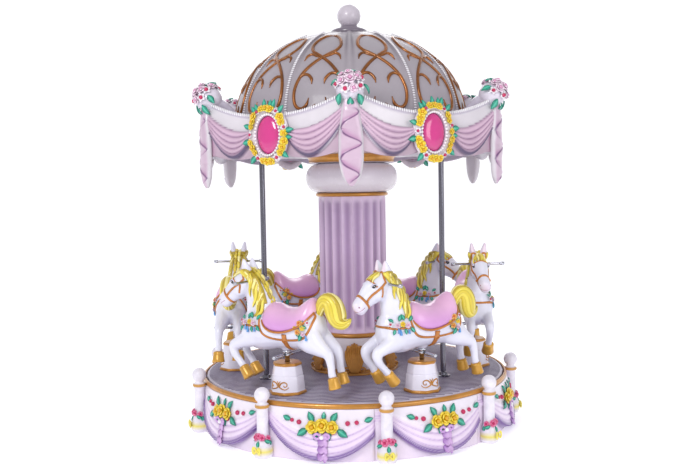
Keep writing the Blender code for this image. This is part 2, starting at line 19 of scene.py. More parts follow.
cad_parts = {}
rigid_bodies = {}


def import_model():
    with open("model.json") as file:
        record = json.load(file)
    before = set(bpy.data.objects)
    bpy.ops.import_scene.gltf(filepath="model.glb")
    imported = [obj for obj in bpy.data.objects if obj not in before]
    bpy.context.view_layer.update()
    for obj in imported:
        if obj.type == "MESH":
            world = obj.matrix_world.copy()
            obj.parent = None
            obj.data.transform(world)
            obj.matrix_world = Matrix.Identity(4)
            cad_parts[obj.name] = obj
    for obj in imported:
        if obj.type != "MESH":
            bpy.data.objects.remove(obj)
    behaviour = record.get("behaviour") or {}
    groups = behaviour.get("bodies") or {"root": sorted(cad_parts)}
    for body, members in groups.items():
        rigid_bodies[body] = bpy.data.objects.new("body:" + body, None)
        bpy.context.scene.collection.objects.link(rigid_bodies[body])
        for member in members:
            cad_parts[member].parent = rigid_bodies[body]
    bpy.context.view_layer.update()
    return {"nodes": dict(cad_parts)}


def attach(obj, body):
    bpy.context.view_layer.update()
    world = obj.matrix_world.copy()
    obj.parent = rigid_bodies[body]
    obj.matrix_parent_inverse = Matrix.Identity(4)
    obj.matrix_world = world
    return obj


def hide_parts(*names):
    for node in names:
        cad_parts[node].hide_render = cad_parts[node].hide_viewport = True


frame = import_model()

# %% [markdown]
# ## The sizes that the pieces share
#
# These are the values of the solids, in metres from the ground. Angles are counted round the column
# from the side that faces the camera, so a helper turns such an angle into a rotation matrix. The
# pieces are drawn with their outer face towards +X, and the matrix carries them to their place.

# %% Shared sizes
SKIRT_RADIUS = 1.011
SKIRT_HEIGHT = 0.296
SKIRT_BAYS = 9
FIRST_POST = radians(9.5)
POST_RING = 1.050
DECK_TOP = 0.325
DECK_RADIUS = 0.985
CORNER_RADIUS = 1.022
CANOPY_SIDES = 6
DOME_RADIUS = 0.760
DOME_RISE = 0.608
DOME_SPRING = 1.955
DOME_FOOT = 1.7753
CEILING = 1.750
KNOB_HEIGHT = 2.664
HORSE_RING = 0.800
HORSE_LIFTS = (0.0, 0.0, 0.052, 0.0, 0.020, 0.050)
RNG = np.random.default_rng(7)


def round_z(angle):
    """A turn round the column. Zero faces the camera, and positive goes to its right."""
    return Matrix.Rotation(angle - pi / 2, 4, "Z")


BAY_ANGLES = [radians(-30 + 60 * i) for i in range(CANOPY_SIDES)]
SKIRT_ANGLES = [FIRST_POST + 2 * pi * i / SKIRT_BAYS for i in range(SKIRT_BAYS)]
print("canopy bays at", [round(a, 2) for a in BAY_ANGLES])

# %% [markdown]
# ## Camera, lights and floor
#
# The camera stands almost six metres in front, a little above the heads of the horses, as in the
# photograph. A big soft light on each side and one above keep the gloss of the paint gentle, and a
# pale floor runs far back so that the ground looks endless.

# %% Camera, lights and floor
CAMERA_PLACE = (0.0, -5.775, 1.558)
CAMERA_TILT = 0.0558
CAMERA_YAW = 0.0029
CAMERA_ROLL = -0.0168
scene = bpy.context.scene
scene.view_settings.view_transform = "Standard"
camera_data = bpy.data.cameras.new("camera")
camera_data.sensor_width = 36.0
camera_data.lens = 44.39
camera_data.clip_end = 100.0
camera = bpy.data.objects.new("camera", camera_data)
camera.matrix_world = (Matrix.Translation(CAMERA_PLACE) @ Matrix.Rotation(CAMERA_YAW, 4, "Z")
                       @ Matrix.Rotation(pi / 2 - CAMERA_TILT, 4, "X") @ Matrix.Rotation(CAMERA_ROLL, 4, "Z"))
scene.collection.objects.link(camera)
scene.camera = camera


def soft_light(name, place, target, size, power):
    """A square lamp that faces its target."""
    data = bpy.data.lights.new(name, "AREA")
    data.size = size
    data.energy = power
    lamp = bpy.data.objects.new(name, data)
    lamp.location = place
    lamp.rotation_euler = (Vector(target) - Vector(place)).to_track_quat("-Z", "Y").to_euler()
    scene.collection.objects.link(lamp)
    return lamp


MIDDLE = (0.0, 0.0, 1.2)
soft_light("key_light", (-2.6, -5.2, 4.2), MIDDLE, 2.0, 150.0)
soft_light("fill_light", (3.6, -4.6, 2.6), MIDDLE, 2.6, 62.0)
soft_light("back_light", (0.5, 5.0, 4.5), MIDDLE, 3.0, 60.0)
world = bpy.data.worlds.new("studio")
world.use_nodes = True
world.node_tree.nodes["Background"].inputs["Color"].default_value = (0.97, 0.97, 1.0, 1.0)
world.node_tree.nodes["Background"].inputs["Strength"].default_value = 0.58
scene.world = world

# %% [markdown]
# ## Helpers for meshes
#
# Most pieces are grids: rows of points that follow a formula. One helper turns rows into a mesh,
# and another writes a colour for every point into an attribute called Paint, which the paint
# materials read. A third sweeps a rounded strand along a path, for scrolls, straps and hair.

# %% Mesh helpers
def tone(red, green, blue):
    """A colour from 0 to 255 a channel, as linear light."""
    value = np.array([red, green, blue], float) / 255.0
    return np.where(value > 0.04045, ((value + 0.055) / 1.055) ** 2.4, value / 12.92)


def make_object(name, points, faces, finish, colours=None):
    """A smooth-shaded mesh object with one material, and with Paint colours if they are given."""
    mesh = bpy.data.meshes.new(name)
    mesh.from_pydata(np.asarray(points, float).reshape(-1, 3).tolist(), [], faces)
    mesh.update()
    mesh.shade_smooth()
    mesh.materials.append(finish)
    if colours is not None:
        set_paint(mesh, colours)
    obj = bpy.data.objects.new(name, mesh)
    scene.collection.objects.link(obj)
    return obj


def set_paint(mesh, colours):
    count = len(mesh.vertices)
    values = np.ones((count, 4))
    values[:, :3] = np.broadcast_to(np.asarray(colours, float).reshape(-1, 3), (count, 3))
    layer = mesh.color_attributes.get("Paint") or mesh.color_attributes.new("Paint", "FLOAT_COLOR", "POINT")
    layer.data.foreach_set("color", values.ravel())


def grid_faces(rows, columns, wrap_rows=False, wrap_columns=False, start=0):
    """Faces of a grid whose points run row by row."""
    faces = []
    for i in range(rows if wrap_rows else rows - 1):
        for j in range(columns if wrap_columns else columns - 1):
            k, m = (i + 1) % rows, (j + 1) % columns
            faces.append((start + i * columns + j, start + i * columns + m,
                          start + k * columns + m, start + k * columns + j))
    return faces


def turned(profile, sides, start=0):
    """Points and faces of a turned shape, closed by a fan at both ends. The profile runs upwards."""
    angles = 2 * pi * np.arange(sides) / sides
    rings = [[(r * cos(a), r * sin(a), z) for a in angles] for r, z in profile]
    points = np.array(rings).reshape(-1, 3)
    faces = grid_faces(len(profile), sides, wrap_columns=True, start=start)
    faces.append(tuple(start + k for k in range(sides))[::-1])
    last = start + (len(profile) - 1) * sides
    faces.append(tuple(last + k for k in range(sides)))
    return points, faces


def curve_through(points, count, closed=False):
    """A smooth path of a number of points through the given ones."""
    points = np.asarray(points, float)
    total = len(points)
    spans = total if closed else total - 1
    out = []
    for value in np.linspace(0, spans, count, endpoint=not closed):
        i = min(int(value), spans - 1)
        t = value - i
        if closed:
            p0, p1, p2, p3 = (points[(i + k) % total] for k in (-1, 0, 1, 2))
        else:
            p0, p1, p2, p3 = (points[min(max(i + k, 0), total - 1)] for k in (-1, 0, 1, 2))
        out.append(0.5 * (2 * p1 + (p2 - p0) * t + (2 * p0 - 5 * p1 + 4 * p2 - p3) * t * t
                          + (3 * p1 - p0 - 3 * p2 + p3) * t ** 3))
    return np.array(out)


def unit(vectors):
    return vectors / np.maximum(np.linalg.norm(vectors, axis=-1, keepdims=True), 1e-9)


def strand(path, normals, half_width, height, sides=8, closed=False, start=0):
    """A rounded strip along a path. half_width and height may be one value or one for each point."""
    path, normals = np.asarray(path, float), unit(np.broadcast_to(normals, np.shape(path)).astype(float))
    count = len(path)
    along = np.roll(path, -1, 0) - np.roll(path, 1, 0) if closed else np.gradient(path, axis=0)
    across = unit(np.cross(unit(along), normals))
    upward = np.cross(across, unit(along))
    wide = np.broadcast_to(half_width, count)
    tall = np.broadcast_to(height, count)
    angles = 2 * pi * np.arange(sides) / sides
    rings = (path[:, None] + across[:, None] * (wide[:, None] * np.cos(angles))[..., None]
             + upward[:, None] * (tall[:, None] * np.sin(angles))[..., None])
    faces = grid_faces(count, sides, wrap_rows=closed, wrap_columns=True, start=start)
    if not closed:
        faces.append(tuple(start + k for k in range(sides))[::-1])
        faces.append(tuple(start + (count - 1) * sides + k for k in range(sides)))
    return rings.reshape(-1, 3), faces


class Collector:
    """Gathers many small shapes, each with its colours, into one piece."""

    def __init__(self):
        self.points, self.faces, self.colours, self.size = [], [], [], 0

    def add(self, points, faces, colours):
        points = np.asarray(points, float).reshape(-1, 3)
        self.points.append(points)
        self.faces += [tuple(self.size + v for v in face) for face in faces]
        self.colours.append(np.broadcast_to(np.asarray(colours, float).reshape(-1, 3), points.shape))
        self.size += len(points)

    def add_object(self, obj, matrix=None):
        """Takes over the mesh of an object, with its Paint, and removes the object."""
        mesh = obj.data
        points = np.empty(len(mesh.vertices) * 3)
        mesh.vertices.foreach_get("co", points)
        points = points.reshape(-1, 3)
        if matrix is not None:
            turn = np.array(matrix)
            points = points @ turn[:3, :3].T + turn[:3, 3]
        colours = np.empty(len(mesh.vertices) * 4)
        mesh.color_attributes["Paint"].data.foreach_get("color", colours)
        self.add(points, [tuple(f.vertices) for f in mesh.polygons], colours.reshape(-1, 4)[:, :3])
        bpy.data.objects.remove(obj)

    def make(self, name, finish):
        obj = make_object(name, np.concatenate(self.points), self.faces, finish, np.concatenate(self.colours))
        return facing_out(obj)


def facing_out(obj):
    """Recalculates the normals, so that every closed shell faces outwards."""
    work = bmesh.new()
    work.from_mesh(obj.data)
    bmesh.ops.recalc_face_normals(work, faces=work.faces)
    work.to_mesh(obj.data)
    work.free()
    return obj


def placed(obj, matrix):
    """Moves the mesh itself, so that the object stays at the origin."""
    obj.data.transform(matrix)
    return obj


def copied(name, source, matrix):
    copy = bpy.data.objects.new(name, source.data.copy())
    scene.collection.objects.link(copy)
    return placed(copy, matrix)


def triangles(obj):
    return sum(len(face.vertices) - 2 for face in obj.data.polygons)


print("helpers are ready")

# %% [markdown]
# ## Paints and metals
#
# Glass fibre is sprayed with a glossy gel coat, and the details are brushed on by hand. So the base
# colour comes from the Paint attribute, a slow noise makes it a little uneven as brush work is, and a
# clear coat on top gives the sharp shine. The gold is a metallic paint with a darker tone in places.

# %% Paint and metal materials
def add_node(tree, kind, **values):
    node = tree.nodes.new(kind)
    for key, value in values.items():
        if hasattr(node, key):
            setattr(node, key, value)
        else:
            node.inputs[key.replace("_", " ")].default_value = value
    return node


def make_finish(name, colour=None, roughness=0.3, metallic=0.0, coat=0.3, uneven=0.10, grain=60.0,
                bump=0.06, patch=5.0, soften=0.0):
    """A paint. Without a colour it reads the Paint attribute of the mesh."""
    finish = bpy.data.materials.new(name)
    finish.use_nodes = True
    tree = finish.node_tree
    shader = tree.nodes["Principled BSDF"]
    place = add_node(tree, "ShaderNodeTexCoord")
    slow = add_node(tree, "ShaderNodeTexNoise", Scale=patch, Detail=4.0, Roughness=0.6)
    tree.links.new(place.outputs["Object"], slow.inputs["Vector"])
    fine = add_node(tree, "ShaderNodeTexNoise", Scale=grain, Detail=3.0, Roughness=0.55)
    tree.links.new(place.outputs["Object"], fine.inputs["Vector"])
    shade = add_node(tree, "ShaderNodeMapRange")
    shade.inputs["From Min"].default_value = 0.3
    shade.inputs["From Max"].default_value = 0.7
    shade.inputs["To Min"].default_value = 1.0 - uneven
    shade.inputs["To Max"].default_value = 1.0
    tree.links.new(slow.outputs["Fac"], shade.inputs["Value"])
    mix = add_node(tree, "ShaderNodeMix", data_type="RGBA", blend_type="MULTIPLY")
    mix.inputs["Factor"].default_value = 1.0
    if colour is None:
        source = add_node(tree, "ShaderNodeAttribute", attribute_name="Paint")
        tree.links.new(source.outputs["Color"], mix.inputs["A"])
    else:
        mix.inputs["A"].default_value = (*colour, 1.0)
    tree.links.new(shade.outputs["Result"], mix.inputs["B"])
    tree.links.new(mix.outputs["Result"], shader.inputs["Base Color"])
    gloss = add_node(tree, "ShaderNodeMapRange")
    gloss.inputs["To Min"].default_value = max(roughness - 0.08, 0.03)
    gloss.inputs["To Max"].default_value = roughness + 0.10
    tree.links.new(fine.outputs["Fac"], gloss.inputs["Value"])
    tree.links.new(gloss.outputs["Result"], shader.inputs["Roughness"])
    dent = add_node(tree, "ShaderNodeBump", Strength=bump, Distance=0.002)
    tree.links.new(fine.outputs["Fac"], dent.inputs["Height"])
    tree.links.new(dent.outputs["Normal"], shader.inputs["Normal"])
    shader.inputs["Metallic"].default_value = metallic
    shader.inputs["Coat Weight"].default_value = coat
    shader.inputs["Coat Roughness"].default_value = 0.08
    shader.inputs["Subsurface Weight"].default_value = soften
    return finish


HAND_PAINT = make_finish("hand_painted_gelcoat", roughness=0.30, coat=0.45)
DOME_PAINT = make_finish("satin_dome_paint", roughness=0.42, coat=0.18, uneven=0.12, patch=4.0)
FLOWER_PAINT = make_finish("brushed_flower_paint", roughness=0.36, coat=0.35, uneven=0.16, patch=24.0)
GOLD_PAINT = make_finish("gold_paint", tone(208, 144, 60), roughness=0.30, metallic=0.40, uneven=0.34,
                         patch=9.0, grain=120.0, bump=0.15)
BRONZE_PAINT = make_finish("bronze_paint", tone(166, 100, 42), roughness=0.24, metallic=0.55, uneven=0.55,
                           patch=7.0, grain=120.0, bump=0.15)
TACK_PAINT = make_finish("orange_gold_paint", roughness=0.30, metallic=0.30, uneven=0.30,
                         patch=12.0, grain=120.0, bump=0.12)
CHROME = make_finish("worn_chrome", tone(196, 198, 208), roughness=0.14, metallic=1.0, coat=0.0,
                     uneven=0.15, grain=40.0, bump=0.03)
DARK_STEEL = make_finish("dark_steel", tone(92, 92, 98), roughness=0.42, metallic=0.6, coat=0.1,
                         uneven=0.3, grain=90.0, bump=0.12)
POLE_STEEL = make_finish("grey_pole_steel", tone(122, 121, 132), roughness=0.18, metallic=0.85, coat=0.3,
                         uneven=0.10, grain=12.0, bump=0.0)
GLOSS_PINK = make_finish("glossy_pink_gelcoat", tone(206, 50, 132), roughness=0.12, coat=1.0, uneven=0.12,
                         patch=14.0, bump=0.01)
LILAC_GELCOAT = make_finish("lilac_gelcoat", tone(212, 190, 218), roughness=0.32, uneven=0.10, patch=3.0)
PEARL_GELCOAT = make_finish("pearl_gelcoat", tone(230, 222, 230), roughness=0.24, coat=0.5, uneven=0.07,
                            patch=3.0)
FLOOR_PAINT = make_finish("studio_floor", tone(243, 243, 246), roughness=0.9, coat=0.0, uneven=0.01,
                          bump=0.0)
floor_shader = FLOOR_PAINT.node_tree.nodes["Principled BSDF"]
floor_shader.inputs["Emission Color"].default_value = (1.0, 1.0, 1.0, 1.0)
floor_shader.inputs["Emission Strength"].default_value = 0.42
print("finishes:", len(bpy.data.materials))

# %% The studio floor
SWEEP_RADIUS = 6.0
SWEEP_START = 9.0
profile = [(-14.0, 0.0), (SWEEP_START, 0.0)]
profile += [(SWEEP_START + SWEEP_RADIUS * sin(a), SWEEP_RADIUS * (1 - cos(a)))
            for a in np.linspace(0, pi / 2, 24)[1:]]
profile.append((SWEEP_START + SWEEP_RADIUS, 30.0))
points = [(x, y, z) for y, z in profile for x in (-30.0, 30.0)]
floor = make_object("floor_and_backdrop", points, grid_faces(len(profile), 2), FLOOR_PAINT)
print("floor rows:", len(profile))

# %% [markdown]
# ## Scattering with Geometry Nodes
#
# Roses, leaves, buds and beads repeat hundreds of times, so each is drawn once and scattered by a node
# tree. The tree takes a mesh of bare points, puts the template on each one, and turns and sizes it
# from the attributes Turn and Size. It then realizes the copies, because an export drops instances,
# and sets the material. The result is taken over as a plain mesh.

# %% The scattering tree
def scatter_tree():
    tree = bpy.data.node_groups.new("scatter_on_points", "GeometryNodeTree")
    for name, kind in (("Geometry", "NodeSocketGeometry"), ("Template", "NodeSocketObject"),
                       ("Scale", "NodeSocketFloat"), ("Finish", "NodeSocketMaterial")):
        tree.interface.new_socket(name, in_out="INPUT", socket_type=kind)
    tree.interface.new_socket("Geometry", in_out="OUTPUT", socket_type="NodeSocketGeometry")
    entry = add_node(tree, "NodeGroupInput")
    source = add_node(tree, "GeometryNodeObjectInfo")
    turn = add_node(tree, "GeometryNodeInputNamedAttribute", data_type="FLOAT_VECTOR")
    turn.inputs["Name"].default_value = "Turn"
    size = add_node(tree, "GeometryNodeInputNamedAttribute", data_type="FLOAT")
    size.inputs["Name"].default_value = "Size"
    scaled = add_node(tree, "ShaderNodeMath", operation="MULTIPLY")
    rotation = add_node(tree, "FunctionNodeEulerToRotation")
    copies = add_node(tree, "GeometryNodeInstanceOnPoints")
    real = add_node(tree, "GeometryNodeRealizeInstances")
    finish = add_node(tree, "GeometryNodeSetMaterial")
    leave = add_node(tree, "NodeGroupOutput")
    link = tree.links.new
    link(entry.outputs["Geometry"], copies.inputs["Points"])
    link(entry.outputs["Template"], source.inputs["Object"])
    link(source.outputs["Geometry"], copies.inputs["Instance"])
    link(turn.outputs["Attribute"], rotation.inputs["Euler"])
    link(rotation.outputs["Rotation"], copies.inputs["Rotation"])
    link(size.outputs["Attribute"], scaled.inputs[0])
    link(entry.outputs["Scale"], scaled.inputs[1])
    link(scaled.outputs["Value"], copies.inputs["Scale"])
    link(copies.outputs["Instances"], real.inputs["Geometry"])
    link(real.outputs["Geometry"], finish.inputs["Geometry"])
    link(entry.outputs["Finish"], finish.inputs["Material"])
    link(finish.outputs["Geometry"], leave.inputs["Geometry"])
    return tree


SCATTER = scatter_tree()


def socket_id(tree, name):
    for item in tree.interface.items_tree:
        if item.name == name and getattr(item, "in_out", "") == "INPUT":
            return item.identifier
    raise KeyError(name)


def scattered(name, template, spots, finish):
    """Copies of the template at spots of place, outward direction, roll and size, as one object."""
    mesh = bpy.data.meshes.new(name + "_points")
    mesh.from_pydata([tuple(spot[0]) for spot in spots], [], [])
    turns, sizes = [], []
    for place, outward, roll, size in spots:
        turn = Vector(outward).to_track_quat("Z", "Y").to_matrix() @ Matrix.Rotation(roll, 3, "Z")
        turns += list(turn.to_euler())
        sizes.append(size)
    mesh.attributes.new("Turn", "FLOAT_VECTOR", "POINT").data.foreach_set("vector", turns)
    mesh.attributes.new("Size", "FLOAT", "POINT").data.foreach_set("value", sizes)
    obj = bpy.data.objects.new(name, mesh)
    scene.collection.objects.link(obj)
    modifier = obj.modifiers.new("scatter", "NODES")
    modifier.node_group = SCATTER
    modifier[socket_id(SCATTER, "Template")] = template
    modifier[socket_id(SCATTER, "Scale")] = 1.0
    modifier[socket_id(SCATTER, "Finish")] = finish
    graph = bpy.context.evaluated_depsgraph_get()
    result = bpy.data.meshes.new_from_object(obj.evaluated_get(graph))
    obj.modifiers.clear()
    obj.data = result
    result.shade_smooth()
    return obj


print("scatter inputs:", [item.name for item in SCATTER.interface.items_tree])

# %% [markdown]
# ## Roses, buds and leaves
#
# The moulded flowers are simple, rounded and glossy. A rose is three rings of overlapping petals round
# a bud, a small flower is a crimson dot in white petals, and a leaf is a pointed blade with a folded
# midrib. Each template is one unit across, faces +Z, and carries its own colours.

# %% Flower templates
def petal(width, length, lift, spin, base, colour, edge):
    """A cupped petal that curls outwards: a thin closed shell, with its own tint."""
    points, colours = [], []
    for i in range(4):
        v = i / 3
        for u, sink in ((-1, 0.0), (-0.34, 0.0), (0.34, 0.0), (1, 0.0), (0, 0.06)):
            x = base + v * length
            y = u * width * (0.55 + 0.45 * sin(pi * min(v + 0.25, 1.0))) * (1 - 0.35 * v ** 3)
            z = lift * (0.35 + 0.65 * sin(pi * 0.62 * v)) - 0.16 * u * u * lift - sink
            points.append((x * cos(spin) - y * sin(spin), x * sin(spin) + y * cos(spin), z))
            colours.append(colour * (1 - v ** 2) + edge * v ** 2)
    faces = grid_faces(4, 5, wrap_columns=True)
    return points, faces + [(4, 3, 2, 1, 0), (15, 16, 17, 18, 19)], colours


def ball(radius, centre, sides, rings, colour, squash=1.0):
    profile = []
    for i in range(1, rings):
        a = -pi / 2 + pi * i / rings
        profile.append((radius * cos(a), radius * squash * sin(a)))
    points, faces = turned(profile, sides)
    return points + np.array(centre, float), faces, colour


def make_rose(name, colour, edge, heart):
    rose = Collector()
    for ring, (count, width, length, lift, base) in enumerate(((5, 0.40, 0.36, 0.26, 0.13),
                                                             (4, 0.32, 0.24, 0.42, 0.08))):
        for k in range(count):
            rose.add(*petal(width, length, lift, 2 * pi * (k + 0.5 * ring) / count, base, colour, edge))
    rose.add(*ball(0.17, (0, 0, 0.34), 6, 4, heart))
    # A darker ball under the petals: painted shade between the petals.
    rose.add(*ball(0.34, (0, 0, 0.02), 6, 4, colour * 0.7, squash=0.5))
    return rose.make(name, FLOWER_PAINT)


YELLOW, YELLOW_EDGE, AMBER = tone(246, 206, 28), tone(255, 230, 80), tone(230, 172, 18)
WHITE_PAINT, CRIMSON = tone(240, 236, 244), tone(196, 24, 88)
TEAL, TEAL_EDGE = tone(14, 140, 118), tone(84, 200, 170)
YELLOW_ROSE = make_rose("template_yellow_rose", YELLOW, YELLOW_EDGE, AMBER)
PINK_ROSE = make_rose("template_pink_rose", tone(232, 196, 220), tone(250, 232, 244), tone(222, 158, 196))
HOT_ROSE = make_rose("template_hot_pink_rose", tone(240, 84, 146), tone(250, 150, 190), tone(200, 30, 100))
ORANGE_ROSE = make_rose("template_orange_rose", tone(246, 166, 60), tone(255, 212, 130), tone(220, 110, 30))


def make_small_flower():
    flower = Collector()
    for k in range(5):
        flower.add(*petal(0.27, 0.36, 0.16, 2 * pi * k / 5, 0.10, WHITE_PAINT, WHITE_PAINT))
    flower.add(*ball(0.22, (0, 0, 0.16), 6, 4, CRIMSON))
    return flower.make("template_small_flower", FLOWER_PAINT)


def make_bud():
    bud = Collector()
    bud.add(*ball(0.5, (0, 0, 0.2), 8, 5, CRIMSON, squash=0.8))
    return bud.make("template_bud", FLOWER_PAINT)


def make_leaf():
    """A blade along +X, folded along its midrib, with a rim that thins out."""
    points, colours = [], []
    for i in range(7):
        v = i / 6
        half = 0.32 * sin(pi * min(v * 1.02, 1.0)) ** 0.8 * (1 - 0.25 * v) + 0.012
        bend = 0.14 * sin(pi * v)
        for u, z in ((-1, 0.02), (-0.5, 0.09), (0, 0.03), (0.5, 0.09), (1, 0.02), (0, -0.05)):
            points.append((v, u * half, bend + z))
            colours.append(TEAL_EDGE if u == 0 else TEAL)
    leaf = Collector()
    faces = grid_faces(7, 6, wrap_columns=True)
    faces += [tuple(range(6))[::-1], tuple(range(36, 42))]
    leaf.add(points, faces, colours)
    return leaf.make("template_leaf", FLOWER_PAINT)


def make_bead(name, across, along, sides, rings):
    """A white bead, round or drawn out along its local Y."""
    bead = Collector()
    points, faces, _ = ball(1.0, (0, 0, 0), sides, rings, None)
    bead.add(points * np.array((across, along, across)), faces, tone(248, 245, 250))
    return bead.make(name, FLOWER_PAINT)


SMALL_FLOWER, BUD, LEAF = make_small_flower(), make_bud(), make_leaf()
BEAD = make_bead("template_bead", 1.0, 1.0, 8, 5)
LONG_BEAD = make_bead("template_long_bead", 0.48, 1.0, 8, 4)
TEMPLATES = (YELLOW_ROSE, PINK_ROSE, HOT_ROSE, ORANGE_ROSE, SMALL_FLOWER, BUD, LEAF, BEAD, LONG_BEAD)
print("rose:", triangles(YELLOW_ROSE), "leaf:", triangles(LEAF), "bead:", triangles(BEAD))

# %% [markdown]
# ## The dome
#
# The roof is a shell of twelve gores between moulded ribs, sprayed pale lilac-grey. It follows a rule,
# half an ellipse turned round the axis, so the grid comes from that formula: the gores are a little
# full between the ribs, and each rib is a low ridge. Bronze scrolls are swept strands on the gores.

# %% The dome shell
RIBS = 12
DOME_COLUMNS = RIBS * 16
DOME_ROWS = 44
CROWN_LEVEL = 0.952


def dome_point(angle, level, out=0.0):
    """A point on the dome, at an angle from the front and a level from 0 at the spring to 1 at the top."""
    lean = level * pi / 2
    r = (DOME_RADIUS + out) * cos(lean)
    return np.array([r * sin(angle), -r * cos(angle), DOME_SPRING + (DOME_RISE + out) * sin(lean)])


def dome_normal(angle, level):
    lean = level * pi / 2
    r, z = DOME_RISE * cos(lean), DOME_RADIUS * sin(lean)
    return unit(np.array([r * sin(angle), -r * cos(angle), z]))


def dome_relief(angle, level):
    share = (angle / (2 * pi / RIBS)) % 1.0
    off = min(share, 1 - share) * 2 * pi / RIBS * DOME_RADIUS * cos(level * pi / 2)
    ridge = 0.007 * np.exp(-(off / 0.011) ** 4)
    crown = np.clip((level - 0.62) / 0.25, 0, 1)
    return ridge + 0.004 * sin(pi * share) ** 0.6 * cos(level * pi / 2) - 0.002 - 0.012 * crown ** 2 * (3 - 2 * crown)


DOME_GREY, CREASE_SHADE_GREY = tone(166, 158, 166), tone(112, 102, 114)
rows = [(-1, 0.0), (0, 0.0)] + [(1, CROWN_LEVEL * i / DOME_ROWS) for i in range(1, DOME_ROWS + 1)]
points, colours = [], []
for kind, level in rows:
    for k in range(DOME_COLUMNS):
        a = 2 * pi * k / DOME_COLUMNS
        out = dome_relief(a, level)
        point = dome_point(a, level, out)
        if kind < 0:
            point[2] = DOME_FOOT
        points.append(point)
        share = (a / (2 * pi / RIBS)) % 1.0
        off = min(share, 1 - share) * 2 * pi / RIBS * DOME_RADIUS * cos(level * pi / 2)
        # Painted shade: each gore is darker in the groove beside each rib.
        crease_shade = np.exp(-((off - 0.014) / 0.006) ** 2)
        low = 1 - 0.16 * np.clip(level - 0.45, 0, 1)
        colours.append((DOME_GREY * (1 - crease_shade) + CREASE_SHADE_GREY * crease_shade) * low)
inside = [(1, 0.955 * (1 - i / 12)) for i in range(13)] + [(-1, 0.0)]
for kind, level in inside:
    for k in range(DOME_COLUMNS):
        a = 2 * pi * k / DOME_COLUMNS
        point = dome_point(a, level, -0.018)
        if kind < 0:
            point[2] = DOME_FOOT
        points.append(point)
        colours.append(tone(170, 162, 178))
total_rows = len(rows) + len(inside)
dome = make_object("dome_shell", points, grid_faces(total_rows, DOME_COLUMNS, wrap_rows=True,
                                                    wrap_columns=True), DOME_PAINT, np.array(colours))
facing_out(dome)
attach(dome, "turntable")
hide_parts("dome")
print("dome triangles:", triangles(dome))

# %% [markdown]
# ## Bronze scrolls and beaded ribs
#
# In each gore two strands rise from inward curls at the foot, lean together, cross, and close into an
# oval, with a pair of small hooks at mid height and one at the crossing. One side is drawn in the gore's
# own plane, from -1 to 1 across and 0 to 1 upwards, then mirrored and laid on the dome. Beads follow the
# ribs, except on the front one, which the photograph shows plain.

# %% Dome scrolls and rib beads
MAIN_STRAND = [(0.26, 0.112), (0.33, 0.066), (0.52, 0.046), (0.70, 0.075), (0.77, 0.145), (0.72, 0.215),
               (0.58, 0.280), (0.34, 0.340), (0.06, 0.388), (-0.22, 0.425), (-0.48, 0.458), (-0.63, 0.512),
               (-0.56, 0.580), (-0.32, 0.630), (0.02, 0.645)]
LOW_HOOK = [(0.72, 0.218), (0.60, 0.262), (0.40, 0.268), (0.24, 0.238), (0.20, 0.200)]
TOP_HOOK = [(0.06, 0.392), (0.26, 0.412), (0.46, 0.428), (0.62, 0.412), (0.68, 0.376)]
FOOT_HOOK = [(0.20, 0.020), (0.16, 0.050), (0.04, 0.072)]


def lay_on_dome(gore, drawing, side, count, height):
    middle = 2 * pi / RIBS * (gore + 0.5)
    flat = curve_through(drawing, count)
    path, normals = [], []
    for across, level in flat:
        a = middle + side * across * pi / RIBS
        normal = dome_normal(a, level)
        path.append(dome_point(a, level, dome_relief(a, level)) + normal * height)
        normals.append(normal)
    return np.array(path), np.array(normals)


scrolls = Collector()
for gore in range(RIBS):
    for side in (1, -1):
        for drawing, count, width in ((MAIN_STRAND, 66, 0.0108), (LOW_HOOK, 20, 0.0100), (TOP_HOOK, 18, 0.0090),
                                      (FOOT_HOOK, 8, 0.0080)):
            path, normals = lay_on_dome(gore, drawing, side, count, 0.0015 + 0.0008 * side)
            taper = np.clip(np.minimum(np.arange(count), np.arange(count)[::-1]) / 4, 0.35, 1.0)
            points, faces = strand(path, normals, width * taper, 0.0100 * taper, 6)
            scrolls.add(points, faces, CREASE_SHADE_GREY)
dome_scrolls = scrolls.make("dome_scrolls", BRONZE_PAINT)
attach(dome_scrolls, "turntable")

BEAD_PITCH = 0.0150
spots = []
for rib in range(1, RIBS):
    a = 2 * pi * rib / RIBS
    line = np.array([dome_point(a, level, 0.008) for level in np.linspace(0.0, 0.74, 400)])
    run = np.concatenate([[0], np.cumsum(np.linalg.norm(np.diff(line, axis=0), axis=1))])
    for at in np.arange(0, run[-1], BEAD_PITCH):
        place = [np.interp(at, run, line[:, c]) for c in range(3)]
        spots.append((place, dome_normal(a, 0.3), pi / 2, 0.0105))
rib_beads = scattered("dome_rib_beads", LONG_BEAD, spots, FLOWER_PAINT)
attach(rib_beads, "turntable")
print("scrolls:", triangles(dome_scrolls), "beads:", len(spots), triangles(rib_beads))

# %% The knob on top
CROWN_HEIGHT = DOME_SPRING + DOME_RISE + 0.008
profile = [(0.050, CROWN_HEIGHT - 0.022), (0.116, CROWN_HEIGHT - 0.030), (0.120, CROWN_HEIGHT - 0.020),
           (0.119, CROWN_HEIGHT - 0.006), (0.106, CROWN_HEIGHT + 0.004), (0.074, CROWN_HEIGHT + 0.014),
           (0.060, CROWN_HEIGHT + 0.024), (0.052, CROWN_HEIGHT + 0.036)]
for i in range(3, 24):
    a = -pi / 2 + pi * i / 24
    profile.append((0.078 * cos(a), KNOB_HEIGHT + 0.077 * sin(a)))
points, faces = turned(profile, 40)
tints = [tone(208, 199, 210) if z > CROWN_HEIGHT + 0.030 else tone(126, 116, 130) for _, _, z in points]
knob = make_object("dome_knob", points, faces, HAND_PAINT, np.array(tints))
facing_out(knob)
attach(knob, "turntable")
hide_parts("knob")
print("knob triangles:", triangles(knob))
